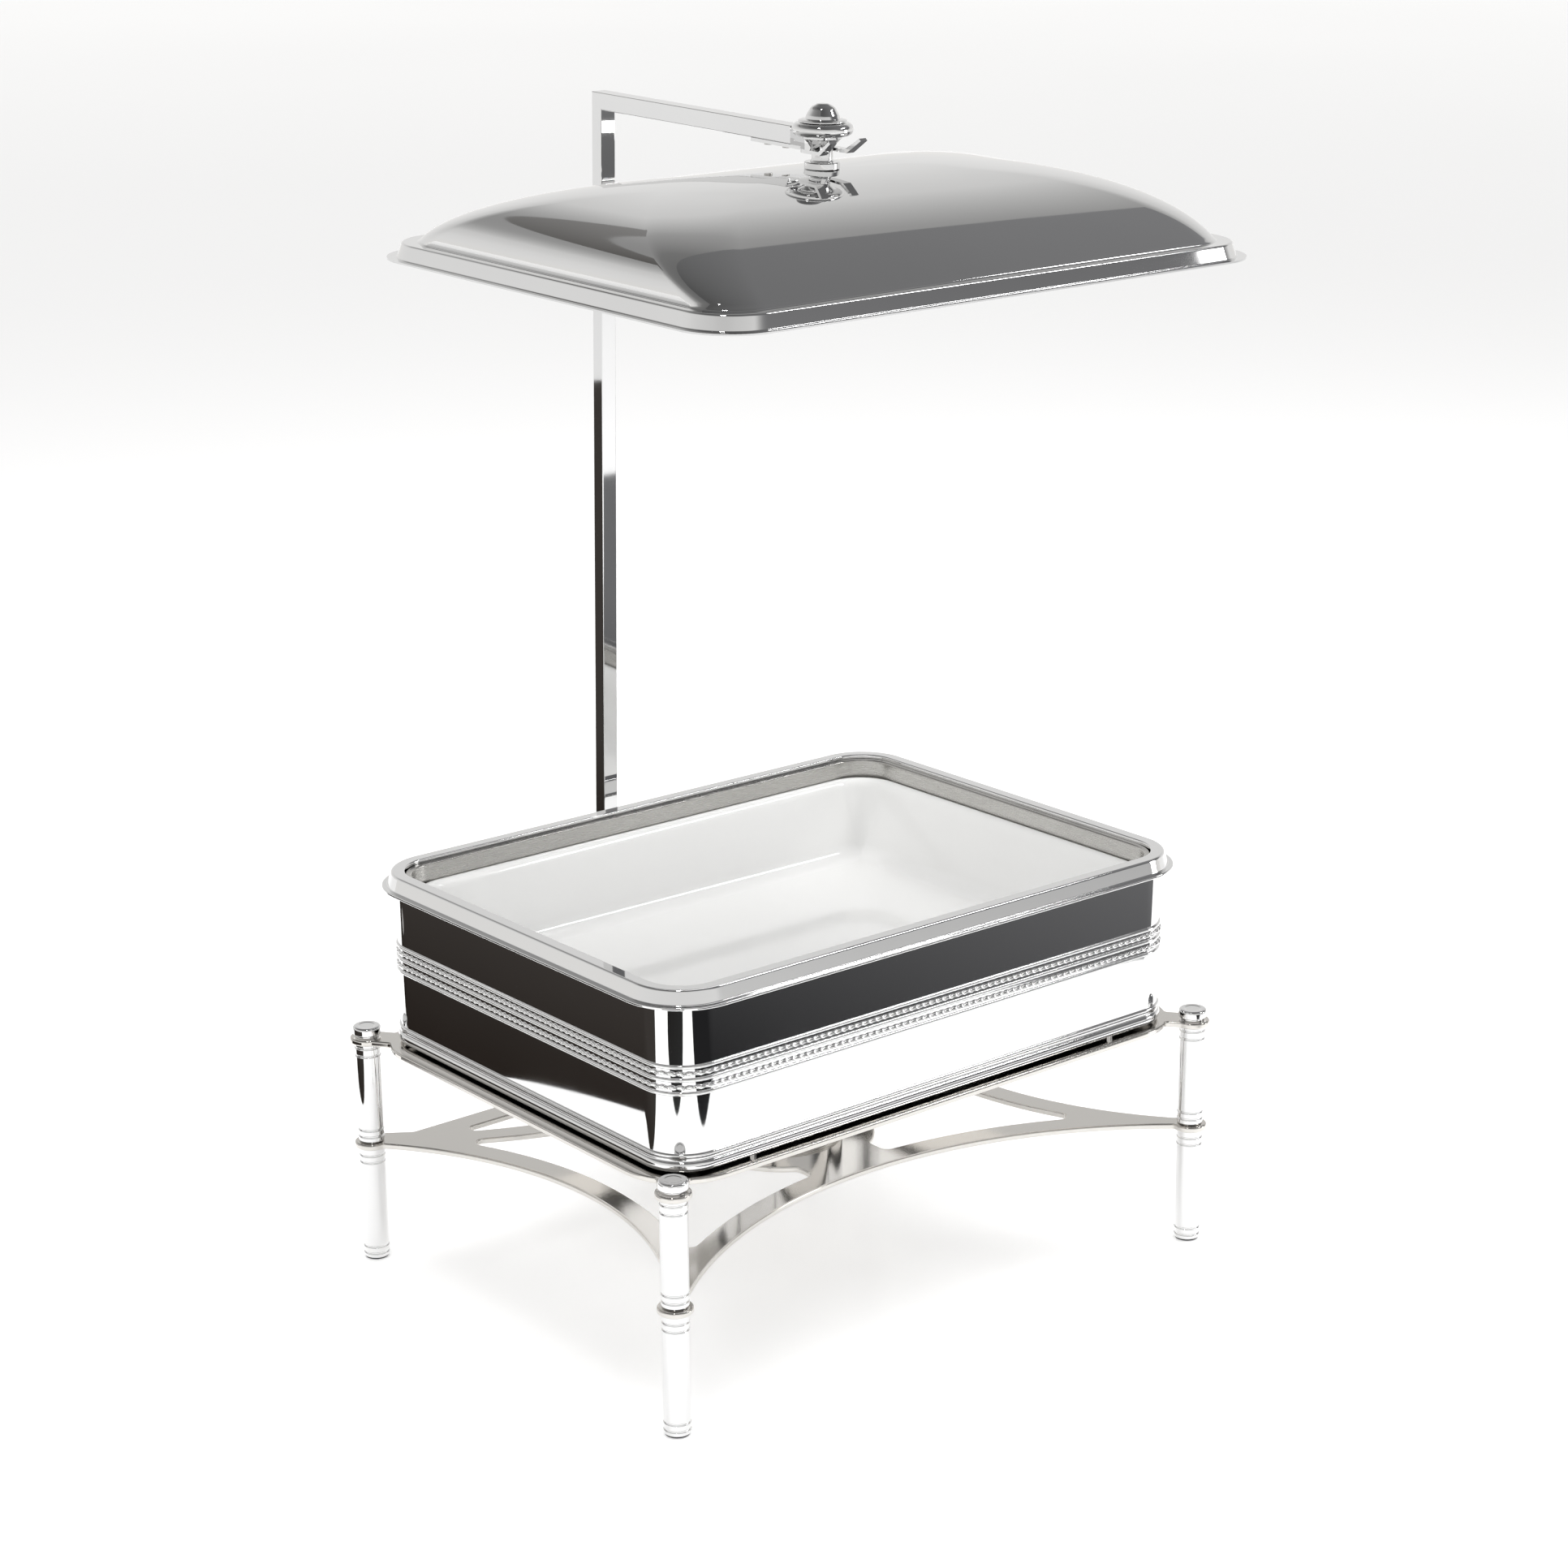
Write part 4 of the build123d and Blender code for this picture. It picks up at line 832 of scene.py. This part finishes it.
    @staticmethod
    def camera(scene):
        """Camera about 1.1 m up, in front and to the left."""
        data = bpy.data.cameras.new("camera")
        data.lens, data.sensor_width = 78.45, 36.0
        data.clip_end = 200.0
        eye = bpy.data.objects.new("camera", data)
        yaw, pitch, roll = math.radians(39.207), math.radians(17.025), math.radians(-0.469)
        ahead = Vector((math.sin(yaw) * math.cos(pitch), math.cos(yaw) * math.cos(pitch), -math.sin(pitch)))
        right = Vector((math.cos(yaw), -math.sin(yaw), 0))
        up = right.cross(ahead)
        side = math.cos(roll) * right + math.sin(roll) * up
        top = -math.sin(roll) * right + math.cos(roll) * up
        turn = Matrix((side, top, -ahead)).transposed()
        eye.matrix_world = Matrix.Translation((-1.533644, -1.885449, 1.118826)) @ turn.to_4x4()
        scene.collection.objects.link(eye)
        scene.camera = eye


# ---------------------------------------------------------------- add-on

STEPS = (BUFFET_OT_finishes, BUFFET_OT_tub, BUFFET_OT_ropes, BUFFET_OT_pans, BUFFET_OT_legs, BUFFET_OT_lid,
         BUFFET_OT_knob, BUFFET_OT_stage)


class BUFFET_PT_sidebar(bpy.types.Panel):
    """Sizes, colours and the steps that make the server."""
    bl_label = "Buffet Server"
    bl_idname = "BUFFET_PT_sidebar"
    bl_space_type = "VIEW_3D"
    bl_region_type = "UI"
    bl_category = "Buffet"

    def draw(self, context):
        for group in (context.scene.buffet_finish, context.scene.buffet_sizes):
            for name in group.__annotations__:
                self.layout.prop(group, name)
        for step in STEPS:
            self.layout.operator(step.bl_idname)


CLASSES = (BuffetFinish, BuffetSizes, *STEPS, BUFFET_PT_sidebar)


def register():
    for cls in CLASSES:
        bpy.utils.register_class(cls)
    bpy.types.Scene.buffet_finish = PointerProperty(type=BuffetFinish)
    bpy.types.Scene.buffet_sizes = PointerProperty(type=BuffetSizes)


def unregister():
    del bpy.types.Scene.buffet_sizes
    del bpy.types.Scene.buffet_finish
    for cls in reversed(CLASSES):
        bpy.utils.unregister_class(cls)


def main():
    register()
    for step in STEPS:
        group, name = step.bl_idname.split(".")
        getattr(getattr(bpy.ops, group), name)()


if __name__ == "__main__":
    main()
